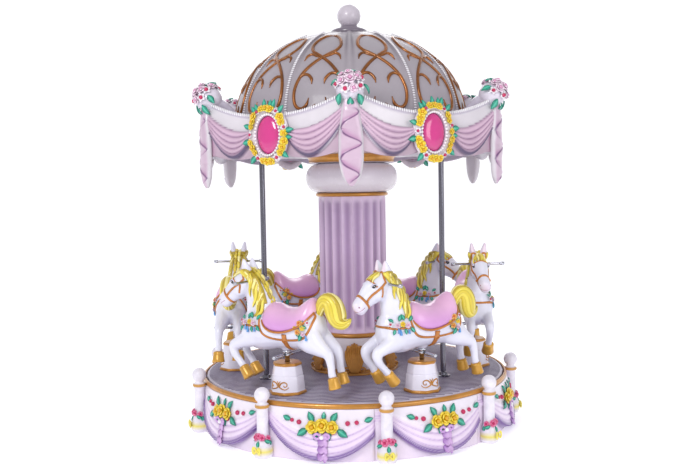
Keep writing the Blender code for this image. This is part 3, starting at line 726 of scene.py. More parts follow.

# %% [markdown]
# ## The draped canopy edge
#
# Each of the six sides is one moulding: a wall that bulges out, with a swag of five folds on either
# side of the medallion, a rolled purple hem under it, and a shoulder that runs in to the dome. A cloth
# is not used, because the real drapery is hard glass fibre. The relief and the brushed colours, with
# painted shade in the folds and a painted highlight on the hem, are two formulas of the same two
# coordinates, the share of the way from the medallion to a corner and the height, so paint and shape
# always agree.

# %% The swag formulas
HALF_SIDE = pi / CANOPY_SIDES
VALANCE_BULGE = 0.040
VALANCE_WALL = 0.015
SHOULDER = 1.940
SWAG_FOLDS = 5
FIELD_WHITE = tone(214, 208, 215)
PANEL_PINK = tone(202, 176, 194)
FOLD_LIGHT = tone(208, 176, 198)
FOLD_VALLEY_SHADE = tone(136, 98, 134)
HEM_DARK = tone(92, 74, 112)
HEM_HIGHLIGHT = tone(236, 232, 242)


def valance_radius(share):
    apothem = CORNER_RADIUS * cos(HALF_SIDE) + VALANCE_BULGE * (1 - share ** 2)
    return apothem / np.cos(share * HALF_SIDE)


def valance_top(share):
    return 1.959 + 0.121 * np.abs(share) ** 2.4


def valance_bottom(share):
    swag = 0.027 * np.maximum(0.0, 1 - ((np.abs(share) - 0.5) / 0.34) ** 2)
    return 1.735 - swag


def swag_line(share):
    return 1.872 + 0.115 * (np.clip(np.abs(share) - 0.33, 0, 1) / 0.59) ** 2.2


def hem_line(share):
    u = np.abs(share)
    inner = 1.722 + 0.055 * ((0.53 - u) / 0.2) ** 2
    outer = 1.722 + 0.180 * (np.clip(u - 0.53, 0, 1) / 0.39) ** 1.8
    return np.where(u < 0.53, inner, outer)


def blend(low, high, weight):
    weight = np.clip(weight, 0, 1)[..., None]
    return low * (1 - weight) + high * weight


def valance_look(share, height):
    """Relief in metres and colour of the canopy's edge."""
    u = np.abs(share)
    top, hem = swag_line(share), hem_line(share)
    inside = (height - hem) / (top - hem)
    drape = (inside > 0) & (inside < 1) & (u > 0.22)
    wave = np.abs(np.sin(pi * SWAG_FOLDS * np.clip(inside, 0, 1) ** 0.85))
    body = np.sin(pi * np.clip(inside, 0, 1) * 0.92 + 0.22) ** 0.6
    slack = 1 - 0.35 * np.clip((u - 0.55) / 0.4, 0, 1)
    relief = np.where(drape, 0.009 + 0.014 * body * slack + 0.010 * wave ** 0.7 * slack, 0.0)
    roll = np.exp(-((height - hem) / 0.0100) ** 2) * (u > 0.22) * (u < 0.97)
    relief = np.maximum(relief, 0.027 * roll)
    beading = np.exp(-((valance_top(share) - 0.012 - height) / 0.010) ** 4)
    relief += 0.005 * beading
    colour = blend(FIELD_WHITE, PANEL_PINK, (hem - height) / 0.012)
    # Painted shade: the folds are darker in their valleys and lighter on their crests.
    folds = blend(FOLD_VALLEY_SHADE, FOLD_LIGHT, wave ** 0.55 * 1.15 - 0.12)
    colour = np.where(drape[..., None], folds, colour)
    # Painted highlight: a pale line along the top of the hem roll, towards the corners.
    silver_highlight = np.clip((u - 0.62) / 0.16, 0, 1) * np.exp(-((height - hem + 0.008) / 0.0055) ** 2)
    hem_colour = blend(HEM_DARK, HEM_HIGHLIGHT, silver_highlight)
    blush = np.exp(-((u - 0.93) / 0.05) ** 2) * np.clip((hem - height) / 0.02, 0, 1)
    colour = blend(colour, tone(206, 140, 184), blush * 0.8)
    colour = blend(colour, hem_colour, roll ** 0.7 * 1.5)
    # Painted shade: a darker grey-lilac band behind the beads of the pearl edge.
    colour = blend(colour, tone(176, 166, 186), beading * 0.8)
    shade = 0.78 + 0.22 * np.clip((height - 1.70) / 0.16, 0, 1)
    return relief, colour * shade[..., None]


print("hem from", round(float(hem_line(0.53)), 3), "to", round(float(hem_line(0.95)), 3))

# %% One canopy side
EDGE_COLUMNS = 145
EDGE_ROWS = 50
shares = np.linspace(-1, 1, EDGE_COLUMNS)
levels = np.linspace(0, 1, EDGE_ROWS)
grid_share, grid_level = np.meshgrid(shares, levels)
low, high = valance_bottom(grid_share), valance_top(grid_share)
heights = low + (high - low) * grid_level
relief, edge_colours = valance_look(grid_share, heights)
lip = np.minimum(grid_level, 1 - grid_level) * 0.34
relief = relief * np.clip(lip / 0.012, 0.25, 1)
reach = valance_radius(grid_share) + relief
angle = grid_share * HALF_SIDE
outer = np.stack([reach * np.cos(angle), reach * np.sin(angle), heights], -1)


def edge_row(offset, height, colour):
    r = valance_radius(shares) + offset
    return (np.stack([r * np.cos(shares * HALF_SIDE), r * np.sin(shares * HALF_SIDE),
                      np.broadcast_to(height, r.shape)], -1), np.broadcast_to(colour, (len(shares), 3)))


def blended_row(weight, height_end, colour):
    """A row on the shoulder, between the wall's top edge and the ring round the dome."""
    start, _ = edge_row(-VALANCE_WALL, valance_top(shares) + 0.001, colour)
    ring = 0.7688
    end = np.stack([ring * np.cos(shares * HALF_SIDE), ring * np.sin(shares * HALF_SIDE),
                    np.full(len(shares), height_end)], -1)
    return start * (1 - weight) + end * weight, np.broadcast_to(colour, (len(shares), 3))


SHOULDER_GREY = tone(206, 198, 214)
INSIDE_GREY = tone(190, 180, 198)
top = valance_top(shares)
bottom = valance_bottom(shares)
back = [edge_row(-0.004, top + 0.004, FIELD_WHITE), edge_row(-0.011, top + 0.004, FIELD_WHITE)]
back += [blended_row(w, SHOULDER, SHOULDER_GREY) for w in (0.0, 0.33, 0.66, 1.0)]
back += [blended_row(1.0, SHOULDER - 0.010, INSIDE_GREY)]
back += [edge_row(-VALANCE_WALL - 0.002, top - 0.016, INSIDE_GREY)]
for weight in (0.25, 0.5, 0.75, 1.0):
    back.append(edge_row(-VALANCE_WALL + 0.001, (top - 0.016) * (1 - weight) + (bottom + 0.003) * weight,
                         INSIDE_GREY))
rows = [row for row in outer] + [row for row, _ in back]
tints = [row for row in edge_colours] + [tint for _, tint in back]
faces = grid_faces(len(rows), EDGE_COLUMNS, wrap_rows=True)
faces.append(tuple(i * EDGE_COLUMNS for i in range(len(rows))))
faces.append(tuple(i * EDGE_COLUMNS + EDGE_COLUMNS - 1 for i in range(len(rows)))[::-1])
edge_template = make_object("edge_template", np.array(rows), faces, HAND_PAINT, np.concatenate(tints))
facing_out(edge_template)
print("one side:", triangles(edge_template), "triangles")

# %% [markdown]
# ## The medallion
#
# A glossy deep pink oval sits in a ring of pearls, and the wreath round it carries clumps of yellow
# roses, small white flowers with crimson hearts, and teal leaves. The oval is a flattened dome, the
# wreath is an oval ring of moulded plaster, and everything on it is scattered at measured angles.

# %% Medallion pieces for one side
MEDALLION_Z = 1.844
MEDALLION_FACE = float(valance_radius(0.0)) + 0.020
OVAL = (0.079, 0.111)
WREATH = (0.113, 0.147)


def on_oval(angle, size, out):
    return (MEDALLION_FACE + out, size[0] * cos(angle), MEDALLION_Z + size[1] * sin(angle))


def oval_disc(size, depth, rings, sides, colour):
    points, faces = [], []
    for i in range(rings):
        lean = pi / 2 * i / (rings - 1) * 0.985
        for k in range(sides):
            a = 2 * pi * k / sides
            points.append((MEDALLION_FACE - 0.012 + (0.012 + depth) * sin(lean),
                           size[0] * cos(lean) ** 0.6 * cos(a),
                           MEDALLION_Z + size[1] * cos(lean) ** 0.6 * sin(a)))
    faces = grid_faces(rings, sides, wrap_columns=True)
    faces += [tuple(range(sides))[::-1], tuple((rings - 1) * sides + k for k in range(sides))]
    return points, faces, colour


medallion = Collector()
medallion.add(*oval_disc(OVAL, 0.016, 12, 48, CRIMSON))
medallion_template = medallion.make("medallion_template", GLOSS_PINK)

wreath = Collector()
angles = 2 * pi * np.arange(72) / 72
ring_path = np.array([on_oval(a, WREATH, -0.004) for a in angles])
points, faces = strand(ring_path, np.broadcast_to((1.0, 0, 0), ring_path.shape), 0.026, 0.014, 12, closed=True)
wreath.add(points, faces, tone(224, 214, 222))
ring_path = np.array([on_oval(a, (OVAL[0] + 0.006, OVAL[1] + 0.006), 0.0) for a in angles])
points, faces = strand(ring_path, np.broadcast_to((1.0, 0, 0), ring_path.shape), 0.008, 0.010, 8, closed=True)
wreath.add(points, faces, tone(196, 182, 198))
pearls = [(on_oval(2 * pi * k / 36, (OVAL[0] + 0.007, OVAL[1] + 0.007), 0.010), (1, 0, 0), 0.0, 0.0082)
          for k in range(36)]
wreath.add_object(scattered("pearls", BEAD, pearls, FLOWER_PAINT))

CLUMPS = (92, 77, 107, 148, 136, 160, 208, 196, 222, 256, 270, 284, 40, 28, 345, 332, 2, 320)
FLOWERS = (122, 58, 178, 15, 238, 303)
LEAF_ANGLES = (100, 84, 68, 128, 116, 50, 164, 190, 232, 326, 352, 8)


def wreath_spots(angles, size, spread, lift, grow):
    spots = []
    for angle in angles:
        a = radians(angle)
        shift = RNG.uniform(-spread, spread, 2)
        place = on_oval(a, (WREATH[0] + grow + shift[0], WREATH[1] + grow + shift[0]), lift)
        outward = Vector((1.0, 0.55 * cos(a), 0.55 * sin(a)))
        spots.append((place, outward, RNG.uniform(0, 6), size * RNG.uniform(0.9, 1.12)))
    return spots


def leaf_spots(angles, size, lift, grow):
    spots = []
    for angle in angles:
        a = radians(angle + RNG.uniform(-4, 4))
        place = on_oval(a, (WREATH[0] + grow, WREATH[1] + grow), lift)
        spots.append(leaf_spot(place, (1, 0, 0), (0, cos(a), sin(a)), size * RNG.uniform(0.85, 1.15)))
    return spots


def leaf_spot(place, outward, along, size):
    """A leaf whose blade points along a direction and faces outwards."""
    outward, along = Vector(outward).normalized(), Vector(along)
    frame_turn = outward.to_track_quat("Z", "Y").to_matrix()
    flat = frame_turn.transposed() @ along
    return place, outward, float(np.arctan2(flat.y, flat.x)), size


wreath.add_object(scattered("roses", YELLOW_ROSE, wreath_spots(CLUMPS, 0.050, 0.006, 0.011, 0.002),
                            FLOWER_PAINT))
wreath.add_object(scattered("flowers", SMALL_FLOWER, wreath_spots(FLOWERS, 0.046, 0.003, 0.011, 0.004),
                            FLOWER_PAINT))
wreath.add_object(scattered("leaves", LEAF, leaf_spots(LEAF_ANGLES, 0.056, 0.004, 0.006), FLOWER_PAINT))

# The pearl edge along the top of the side
run = np.linspace(-0.965, 0.965, 900)
line = np.stack([(valance_radius(run) + 0.0050) * np.cos(run * HALF_SIDE),
                 (valance_radius(run) + 0.0050) * np.sin(run * HALF_SIDE), valance_top(run) - 0.003], -1)
length = np.concatenate([[0], np.cumsum(np.linalg.norm(np.diff(line, axis=0), axis=1))])
edge_beads = []
for at in np.arange(0, length[-1], BEAD_PITCH):
    place = [np.interp(at, length, line[:, c]) for c in range(3)]
    if abs(place[1]) > 0.075:
        edge_beads.append((place, (1, 0, 0.3), 0.0, 0.0110))
wreath.add_object(scattered("edge_beads", LONG_BEAD, edge_beads, FLOWER_PAINT))
wreath_template = wreath.make("wreath_template", FLOWER_PAINT)
print("wreath:", triangles(wreath_template), "triangles,", len(edge_beads), "edge beads")

# %% [markdown]
# ## Ribbon tails and rosettes at the corners
#
# Over each corner hangs a white tongue that carries a folded ribbon, with one dark purple line of
# painted shadow winding down it where the folds overlap. Above it a white lobe carries pale roses, red
# and white flowers and teal leaves. The line is a formula again, a wave of the height, and the relief
# steps down across it.

# %% The ribbon tail
RIBBON_TOP, RIBBON_TIP = 2.030, 1.545
RIBBON_WAVE = 0.1735
RIBBON_PINK = tone(200, 174, 194)
RIBBON_SHADE = tone(182, 134, 172)
RIBBON_SHADOW_LINE = tone(96, 66, 110)
TONGUE_WHITE = tone(206, 200, 207)


def ribbon_half_width(z):
    down = np.clip((RIBBON_TOP - z) / (RIBBON_TOP - RIBBON_TIP), 0, 1)
    full = 0.036 + 0.030 * np.clip(down / 0.45, 0, 1) ** 0.8
    return full * (1 - np.clip((down - 0.62) / 0.38, 0, 1) ** 2.2) ** 0.62 + 0.004


def ribbon_look(across, z):
    """Relief and colour of the ribbon. across runs from -1 to 1."""
    turn = 2 * pi * (1.950 - z) / RIBBON_WAVE
    line = 0.82 * np.cos(turn + 0.35 * np.sin(turn))
    off = (across - line) * np.sign(np.sin(turn) + 1e-6)
    fade = np.clip((z - RIBBON_TIP - 0.012) / 0.02, 0, 1) * np.clip((1.975 - z) / 0.02, 0, 1)
    slope = np.sqrt(1 + (ribbon_half_width(z) * 0.82 * 2 * pi / RIBBON_WAVE * np.sin(turn)) ** 2)
    away = off * ribbon_half_width(z) / slope
    step = 1 / (1 + np.exp(-away / 0.0016))
    relief = 0.004 + 0.009 * (step * np.exp(-np.clip(away, 0, 1) / 0.05) + (1 - step) * 0.25) * fade
    # Painted shade beside the overlap, and a painted shadow line along it, where one fold steps over the next.
    pink = blend(RIBBON_PINK, RIBBON_SHADE, np.exp(-(np.clip(-away, 0, 1) / 0.022) ** 2) * (away < 0.004) * fade)
    pink = blend(pink, TONGUE_WHITE, (np.abs(across) - 0.72) / 0.2)
    return relief, blend(pink, RIBBON_SHADOW_LINE, np.exp(-((away + 0.001) / 0.0036) ** 2) * fade)


def make_ribbon():
    columns, count = 33, 124
    across, z = np.meshgrid(np.linspace(-1, 1, columns), np.linspace(RIBBON_TIP, RIBBON_TOP, count))
    relief, tints = ribbon_look(across, z)
    half = ribbon_half_width(z)
    round_edge = np.sqrt(np.clip(1 - across ** 2, 0, 1))
    plump = np.clip(half / 0.05, 0.2, 1)
    front = np.stack([CORNER_RADIUS - 0.006 + plump * 0.022 * round_edge + relief * np.clip(1.1 - across ** 6, 0, 1),
                      across * half, z], -1)
    rear = np.stack([CORNER_RADIUS - 0.010 - plump * 0.018 * round_edge, across * half, z], -1)[:, -2:0:-4]
    points = np.concatenate([front, rear], axis=1)
    colours = np.concatenate([tints, np.broadcast_to(TONGUE_WHITE, rear.shape)], axis=1)
    around = points.shape[1]
    faces = grid_faces(count, around, wrap_columns=True)
    last = (count - 1) * around
    faces += [tuple(range(around))[::-1], tuple(last + k for k in range(around))]
    return points, faces, colours.reshape(-1, 3)


ribbon = Collector()
ribbon.add(*make_ribbon())
ribbon_template = ribbon.make("ribbon_template", HAND_PAINT)
print("ribbon:", triangles(ribbon_template), "triangles")

# %% The rosette
ROSETTE_CENTRE = Vector((CORNER_RADIUS - 0.030, 0.0, 2.083))
ROSETTE_RADIUS = 0.080
rosette = Collector()
rosette.add(*ball(ROSETTE_RADIUS, ROSETTE_CENTRE, 28, 16, tone(222, 214, 228)))
back_arm = curve_through([(CORNER_RADIUS - 0.02, 0, 2.03), (CORNER_RADIUS - 0.10, 0, 2.045),
                          (CORNER_RADIUS - 0.18, 0, 1.995), (CORNER_RADIUS - 0.25, 0, 1.945)], 24)
points, faces = strand(back_arm, np.broadcast_to((0, 0, 1.0), back_arm.shape),
                       np.linspace(0.066, 0.040, 24), np.linspace(0.060, 0.012, 24), 16)
rosette.add(points, faces, tone(206, 198, 214))


def ball_spots(directions, size, lift=0.0):
    spots = []
    for side, up, scale in directions:
        out = Vector((cos(radians(up)) * cos(radians(side)), cos(radians(up)) * sin(radians(side)),
                      sin(radians(up))))
        spots.append((ROSETTE_CENTRE + out * (ROSETTE_RADIUS + lift), out, RNG.uniform(0, 6), size * scale))
    return spots


PALE_ROSES = ((0, 30, 1.1), (-34, 22, 1.0), (30, 38, 0.95), (-12, 62, 1.0), (12, -4, 0.9), (-52, 52, 0.9),
              (90, 60, 0.9), (180, 62, 0.9))
RED_FLOWERS = ((-18, -6, 1.0), (38, 4, 1.0), (58, 36, 1.0), (-62, 12, 0.9), (150, 46, 0.9))
LEAVES = ((-44, -22, -120, 1.0), (36, -26, -60, 1.0), (0, -40, -90, 0.9), (64, 12, -20, 0.9),
          (-70, 30, 160, 0.9), (20, 74, 80, 0.9), (-40, 76, 120, 0.9))
rosette.add_object(scattered("pale_roses", PINK_ROSE, ball_spots(PALE_ROSES, 0.062, 0.000), FLOWER_PAINT))
rosette.add_object(scattered("red_flowers", SMALL_FLOWER, ball_spots(RED_FLOWERS, 0.060, 0.003), FLOWER_PAINT))
spots = []
for side, up, roll, scale in LEAVES:
    place, out, _, size = ball_spots(((side, up, scale),), 0.074, 0.004)[0]
    spots.append(leaf_spot(place, out, (0, cos(radians(roll)), sin(radians(roll))), size))
rosette.add_object(scattered("rosette_leaves", LEAF, spots, FLOWER_PAINT))
rosette_template = rosette.make("rosette_template", FLOWER_PAINT)
print("rosette:", triangles(rosette_template), "triangles")

# %% Set out the six sides
for index, bay_angle in enumerate(BAY_ANGLES, 1):
    turn = round_z(bay_angle)
    corner_turn = round_z(bay_angle - HALF_SIDE)
    edge = copied(f"canopy_edge_{index}", edge_template, turn)
    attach(edge, "turntable")
    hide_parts(f"valance_bay_{index}")
    for name, template, matrix, slot in (("medallion", medallion_template, turn, "lilac_gelcoat"),
                                         ("wreath", wreath_template, turn, "white_gelcoat"),
                                         ("ribbon_tail", ribbon_template, corner_turn, "lilac_gelcoat"),
                                         ("rosette", rosette_template, corner_turn, "white_gelcoat")):
        piece = copied(f"{name}_{index}", template, matrix)
        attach(piece, "turntable")
for template in (edge_template, medallion_template, wreath_template, ribbon_template, rosette_template):
    bpy.data.objects.remove(template)
print("canopy sides are in place")

# %% [markdown]
# ## The ceiling and the column
#
# The fluted column is lilac with a gilt band at each end, and a fat white cushion under the ceiling.
# The shaft follows a rule, twenty rounded grooves that fade out before the bands, so a node tree bends
# a plain tube into it: it pulls each point inwards by a rounded wave of its angle. The cushion, the
# bands and the foot are turned shapes.

# %% Fluted shaft from a node tree
SHAFT_RADIUS = 0.223
SHAFT_LOW, SHAFT_HIGH = 0.572, 1.490
FLUTES = 20


def flute_tree():
    tree = bpy.data.node_groups.new("fluted_shaft", "GeometryNodeTree")
    for name, kind in (("Flutes", "NodeSocketInt"), ("Depth", "NodeSocketFloat"),
                       ("Radius", "NodeSocketFloat"), ("Height", "NodeSocketFloat"),
                       ("Finish", "NodeSocketMaterial")):
        tree.interface.new_socket(name, in_out="INPUT", socket_type=kind)
    tree.interface.new_socket("Geometry", in_out="OUTPUT", socket_type="NodeSocketGeometry")
    link = tree.links.new
    entry = add_node(tree, "NodeGroupInput")
    tube = add_node(tree, "GeometryNodeMeshCylinder")
    tube.inputs["Vertices"].default_value = FLUTES * 8
    tube.inputs["Side Segments"].default_value = 30
    link(entry.outputs["Radius"], tube.inputs["Radius"])
    link(entry.outputs["Height"], tube.inputs["Depth"])
    place = add_node(tree, "GeometryNodeInputPosition")
    split = add_node(tree, "ShaderNodeSeparateXYZ")
    link(place.outputs["Position"], split.inputs["Vector"])

    def math(operation, first, second=None):
        node = add_node(tree, "ShaderNodeMath", operation=operation)
        for socket, value in ((0, first), (1, second)):
            if value is None:
                continue
            if isinstance(value, (int, float)):
                node.inputs[socket].default_value = value
            else:
                link(value, node.inputs[socket])
        return node.outputs["Value"]

    angle = math("ARCTAN2", split.outputs["Y"], split.outputs["X"])
    wave = math("ABSOLUTE", math("SINE", math("MULTIPLY", math("MULTIPLY", angle, entry.outputs["Flutes"]), 0.5)))
    groove = math("POWER", wave, 0.62)
    half = math("MULTIPLY", entry.outputs["Height"], 0.5)
    room = math("SUBTRACT", half, math("ABSOLUTE", split.outputs["Z"]))
    fade = math("SMOOTH_MIN", math("MULTIPLY", math("SUBTRACT", room, 0.018), 30.0), 1.0)
    fade = math("MAXIMUM", fade, 0.0)
    pull = math("MULTIPLY", math("MULTIPLY", groove, fade), entry.outputs["Depth"])
    share = math("DIVIDE", pull, entry.outputs["Radius"])
    keep = math("SUBTRACT", 1.0, share)
    join = add_node(tree, "ShaderNodeCombineXYZ")
    link(math("MULTIPLY", split.outputs["X"], keep), join.inputs["X"])
    link(math("MULTIPLY", split.outputs["Y"], keep), join.inputs["Y"])
    link(split.outputs["Z"], join.inputs["Z"])
    move = add_node(tree, "GeometryNodeSetPosition")
    link(tube.outputs["Mesh"], move.inputs["Geometry"])
    link(join.outputs["Vector"], move.inputs["Position"])
    real = add_node(tree, "GeometryNodeRealizeInstances")
    finish = add_node(tree, "GeometryNodeSetMaterial")
    leave = add_node(tree, "NodeGroupOutput")
    link(move.outputs["Geometry"], real.inputs["Geometry"])
    link(real.outputs["Geometry"], finish.inputs["Geometry"])
    link(entry.outputs["Finish"], finish.inputs["Material"])
    link(finish.outputs["Geometry"], leave.inputs["Geometry"])
    return tree


def grown(name, tree, **values):
    """A mesh made wholly by a node tree, with its named inputs."""
    obj = bpy.data.objects.new(name, bpy.data.meshes.new(name))
    scene.collection.objects.link(obj)
    modifier = obj.modifiers.new("grow", "NODES")
    modifier.node_group = tree
    for key, value in values.items():
        modifier[socket_id(tree, key)] = value
    graph = bpy.context.evaluated_depsgraph_get()
    obj.data = bpy.data.meshes.new_from_object(obj.evaluated_get(graph))
    obj.modifiers.clear()
    obj.data.shade_smooth()
    return obj


FLUTE_DEPTH = 0.019
shaft = grown("column_flutes", flute_tree(), Flutes=FLUTES, Depth=FLUTE_DEPTH, Radius=SHAFT_RADIUS,
              Height=SHAFT_HIGH - SHAFT_LOW, Finish=HAND_PAINT)
reach = np.array([v.co.xy.length for v in shaft.data.vertices])
deep = np.clip((SHAFT_RADIUS - reach) / FLUTE_DEPTH, 0, 1)
# Painted shade: the flutes are darker the deeper they go.
set_paint(shaft.data, blend(tone(222, 198, 226), tone(164, 134, 174), deep ** 2.2))
placed(shaft, Matrix.Translation((0, 0, (SHAFT_LOW + SHAFT_HIGH) / 2)))
shaft.data.set_sharp_from_angle(angle=radians(60))
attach(shaft, "turntable")
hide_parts("column_shaft")
print("shaft triangles:", triangles(shaft))

# %% Bands, cushion and ceiling
def turned_piece(name, profile, sides, finish, slot, *nodes, body="turntable", colours=None):
    points, faces = turned(profile, sides)
    obj = make_object(name, points, faces, finish, colours)
    facing_out(obj)
    obj.data.set_sharp_from_angle(angle=radians(42))
    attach(obj, body)
    if nodes:
        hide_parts(*nodes)
    return obj


def bead_profile(inner, outer, low, high, steps=10):
    """Half-round moulding between two heights, standing out from the inner to the outer radius."""
    profile = [(inner - 0.004, low)]
    for i in range(steps + 1):
        a = -pi / 2 + pi * i / steps
        profile.append((inner + (outer - inner) * cos(a), (low + high) / 2 + (high - low) / 2 * sin(a)))
    profile.append((inner - 0.004, high))
    return profile


turned_piece("column_lower_band", bead_profile(0.226, 0.243, 0.557, 0.586), 72, GOLD_PAINT, "gold_paint")
turned_piece("column_upper_band", bead_profile(0.226, 0.242, 1.476, 1.501), 72, GOLD_PAINT, "gold_paint")
cushion = [(0.236, 1.5023)]
for i in range(1, 30):
    a = -pi / 2 + pi * i / 30
    cushion.append((0.3045 - 0.088 + 0.088 * cos(a) ** 0.92, 1.5985 + 0.0960 * sin(a)))
cushion += [(0.214, 1.6950), (0.272, 1.6985), (0.278, 1.7000)]
turned_piece("capital_cushion", cushion, 72, PEARL_GELCOAT, "white_gelcoat", "capital")
crown = [(0.268, 1.6985), (0.276, 1.6990), (0.284, 1.7040), (0.283, 1.7140), (0.287, 1.7250), (0.300, 1.7400),
         (0.314, 1.7490)]
turned_piece("capital_gilt_crown", crown, 72, GOLD_PAINT, "gold_paint")

steps = 20
outline = []
for side in range(CANOPY_SIDES):
    for step in range(steps):
        share = -1.0 + 2.0 * step / steps
        r = float(valance_radius(share)) - VALANCE_WALL - 0.0006
        a = (2 * side + share) * HALF_SIDE
        outline.append((r * cos(a), r * sin(a)))
rings, tints = [], []
for scale, z, colour in ((0.32, CEILING, 190), (0.34, CEILING, 196), (0.60, CEILING, 200), (0.63, CEILING + 0.006, 176),
                         (0.66, CEILING, 200), (0.96, CEILING, 194), (1.0, CEILING + 0.002, 180),
                         (1.0, CEILING + 0.025, 180), (0.30, CEILING + 0.025, 180)):
    rings.append([(x * scale, y * scale, z) for x, y in outline])
    tints.append([tone(colour, colour - 8, colour + 6)] * len(outline))
count = len(outline)
ceiling = make_object("ceiling_panel", rings, grid_faces(len(rings), count, wrap_rows=True, wrap_columns=True),
                      HAND_PAINT, np.array(tints).reshape(-1, 3))
facing_out(placed(ceiling, round_z(BAY_ANGLES[0])))
ceiling.data.set_sharp_from_angle(angle=radians(40))
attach(ceiling, "turntable")
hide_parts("ceiling")
print("cushion and ceiling are made")

# %% [markdown]
# ## The foot of the column
#
# The white foot flares out, and six gilded shell leaves lean against it. Each leaf is a fan of fat
# ribs that rolls over at its top, with a small scroll on either side, so it is swept from strands.

# %% The foot and its gilded leaves
foot_profile = [(0.2495, DECK_TOP + 0.021), (0.2495, 0.372), (0.247, 0.392), (0.241, 0.420), (0.238, 0.460),
                (0.237, 0.520), (0.234, 0.545), (0.231, 0.5565)]
turned_piece("column_flare", foot_profile, 72, PEARL_GELCOAT, "white_gelcoat", "column_base")
plinth = [(0.250, DECK_TOP + 0.0004), (0.292, DECK_TOP + 0.0004), (0.293, DECK_TOP + 0.008),
          (0.290, DECK_TOP + 0.014), (0.276, DECK_TOP + 0.018), (0.266, DECK_TOP + 0.028),
          (0.2510, DECK_TOP + 0.030)]
turned_piece("column_plinth", plinth, 72, GOLD_PAINT, "gold_paint", "column_foot")


def leaf_reach(z):
    """How far the leaf stands from the axis at a height above the deck."""
    return np.interp(z, (0.0, 0.012, 0.07, 0.13, 0.165, 0.19, 0.205),
                     (0.282, 0.284, 0.274, 0.263, 0.268, 0.272, 0.260))


leaf_fan = Collector()
for rib in range(-4, 5):
    spread = rib / 4
    tip = 0.205 - 0.045 * abs(spread) ** 1.6
    z = np.linspace(0.012, tip, 14)
    share = (z - 0.012) / (tip - 0.012)
    y = spread * (0.016 + 0.050 * share ** 0.8 * (1 - 0.25 * share ** 3)) + 0.004 * np.sin(share * pi) * spread
    path = np.stack([leaf_reach(z) + 0.004 * np.cos(spread * 1.4), y, DECK_TOP + z], -1)
    wide = 0.0050 + 0.0042 * np.sin(pi * np.clip(share, 0, 1) * 0.86) + 0.001
    points, faces = strand(path, (1.0, 0, 0), wide, wide * 1.15, 8)
    leaf_fan.add(points, faces, tone(205, 146, 62))
back_z = np.linspace(0.006, 0.190, 12)
path = np.stack([leaf_reach(back_z) - 0.009, back_z * 0, DECK_TOP + back_z], -1)
points, faces = strand(path, (1.0, 0, 0), 0.020 + 0.040 * np.sin(back_z / 0.19 * pi * 0.75), 0.009, 10)
leaf_fan.add(points, faces, tone(205, 146, 62))
for side in (1, -1):
    turns = np.linspace(0, 2.6 * pi, 28)
    size = 0.021 * (1 - turns / (3.4 * pi))
    path = np.stack([0.284 + 0.004 * np.cos(turns), side * (0.050 + size * np.cos(turns)),
                     DECK_TOP + 0.034 + size * np.sin(turns)], -1)
    points, faces = strand(path, (1.0, 0, 0), 0.0062 * (1 - turns / (5 * pi)), 0.008, 8)
    leaf_fan.add(points, faces, tone(205, 146, 62))
leaf_template = leaf_fan.make("leaf_fan", GOLD_PAINT)
leaves = Collector()
for k in range(6):
    copy = copied("leaf_copy", leaf_template, round_z(radians(60 * k)))
    leaves.add_object(copy)
column_leaves = leaves.make("column_leaves", GOLD_PAINT)
bpy.data.objects.remove(leaf_template)
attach(column_leaves, "turntable")
print("leaves:", triangles(column_leaves), "triangles")

# %% [markdown]
# ## The deck and its rim
#
# The walkway is a grey-lilac moulding with long wavy ridges for grip. The ridges repeat, so a node tree
# draws them: each starts as a straight line, is waved by a sine of its own x, and gets a low rounded
# section. The solid disc below keeps its shape and takes a slightly uneven, scuffed paint.

# %% Wavy ridges on the deck
def ridge_tree():
    tree = bpy.data.node_groups.new("wavy_ridges", "GeometryNodeTree")
    for name, kind in (("Lines", "NodeSocketGeometry"), ("Wave", "NodeSocketFloat"),
                       ("Pitch", "NodeSocketFloat"), ("Width", "NodeSocketFloat"),
                       ("Finish", "NodeSocketMaterial")):
        tree.interface.new_socket(name, in_out="INPUT", socket_type=kind)
    tree.interface.new_socket("Geometry", in_out="OUTPUT", socket_type="NodeSocketGeometry")
    link = tree.links.new
    entry = add_node(tree, "NodeGroupInput")
    place = add_node(tree, "GeometryNodeInputPosition")
    split = add_node(tree, "ShaderNodeSeparateXYZ")
    link(place.outputs["Position"], split.inputs["Vector"])
    turns = add_node(tree, "ShaderNodeMath", operation="DIVIDE")
    link(split.outputs["X"], turns.inputs[0])
    link(entry.outputs["Pitch"], turns.inputs[1])
    wave = add_node(tree, "ShaderNodeMath", operation="SINE")
    link(turns.outputs["Value"], wave.inputs[0])
    sway = add_node(tree, "ShaderNodeMath", operation="MULTIPLY")
    link(wave.outputs["Value"], sway.inputs[0])
    link(entry.outputs["Wave"], sway.inputs[1])
    join = add_node(tree, "ShaderNodeCombineXYZ")
    link(sway.outputs["Value"], join.inputs["Y"])
    move = add_node(tree, "GeometryNodeSetPosition")
    link(entry.outputs["Lines"], move.inputs["Geometry"])
    link(join.outputs["Vector"], move.inputs["Offset"])
    curve = add_node(tree, "GeometryNodeMeshToCurve")
    link(move.outputs["Geometry"], curve.inputs["Mesh"])
    section = add_node(tree, "GeometryNodeCurvePrimitiveCircle")
    section.inputs["Resolution"].default_value = 4
    link(entry.outputs["Width"], section.inputs["Radius"])
    sweep = add_node(tree, "GeometryNodeCurveToMesh")
    link(curve.outputs["Curve"], sweep.inputs["Curve"])
    link(section.outputs["Curve"], sweep.inputs["Profile Curve"])
    sweep.inputs["Fill Caps"].default_value = True
    real = add_node(tree, "GeometryNodeRealizeInstances")
    finish = add_node(tree, "GeometryNodeSetMaterial")
    leave = add_node(tree, "NodeGroupOutput")
    link(sweep.outputs["Mesh"], real.inputs["Geometry"])
    link(real.outputs["Geometry"], finish.inputs["Geometry"])
    link(entry.outputs["Finish"], finish.inputs["Material"])
    link(finish.outputs["Geometry"], leave.inputs["Geometry"])
    return tree


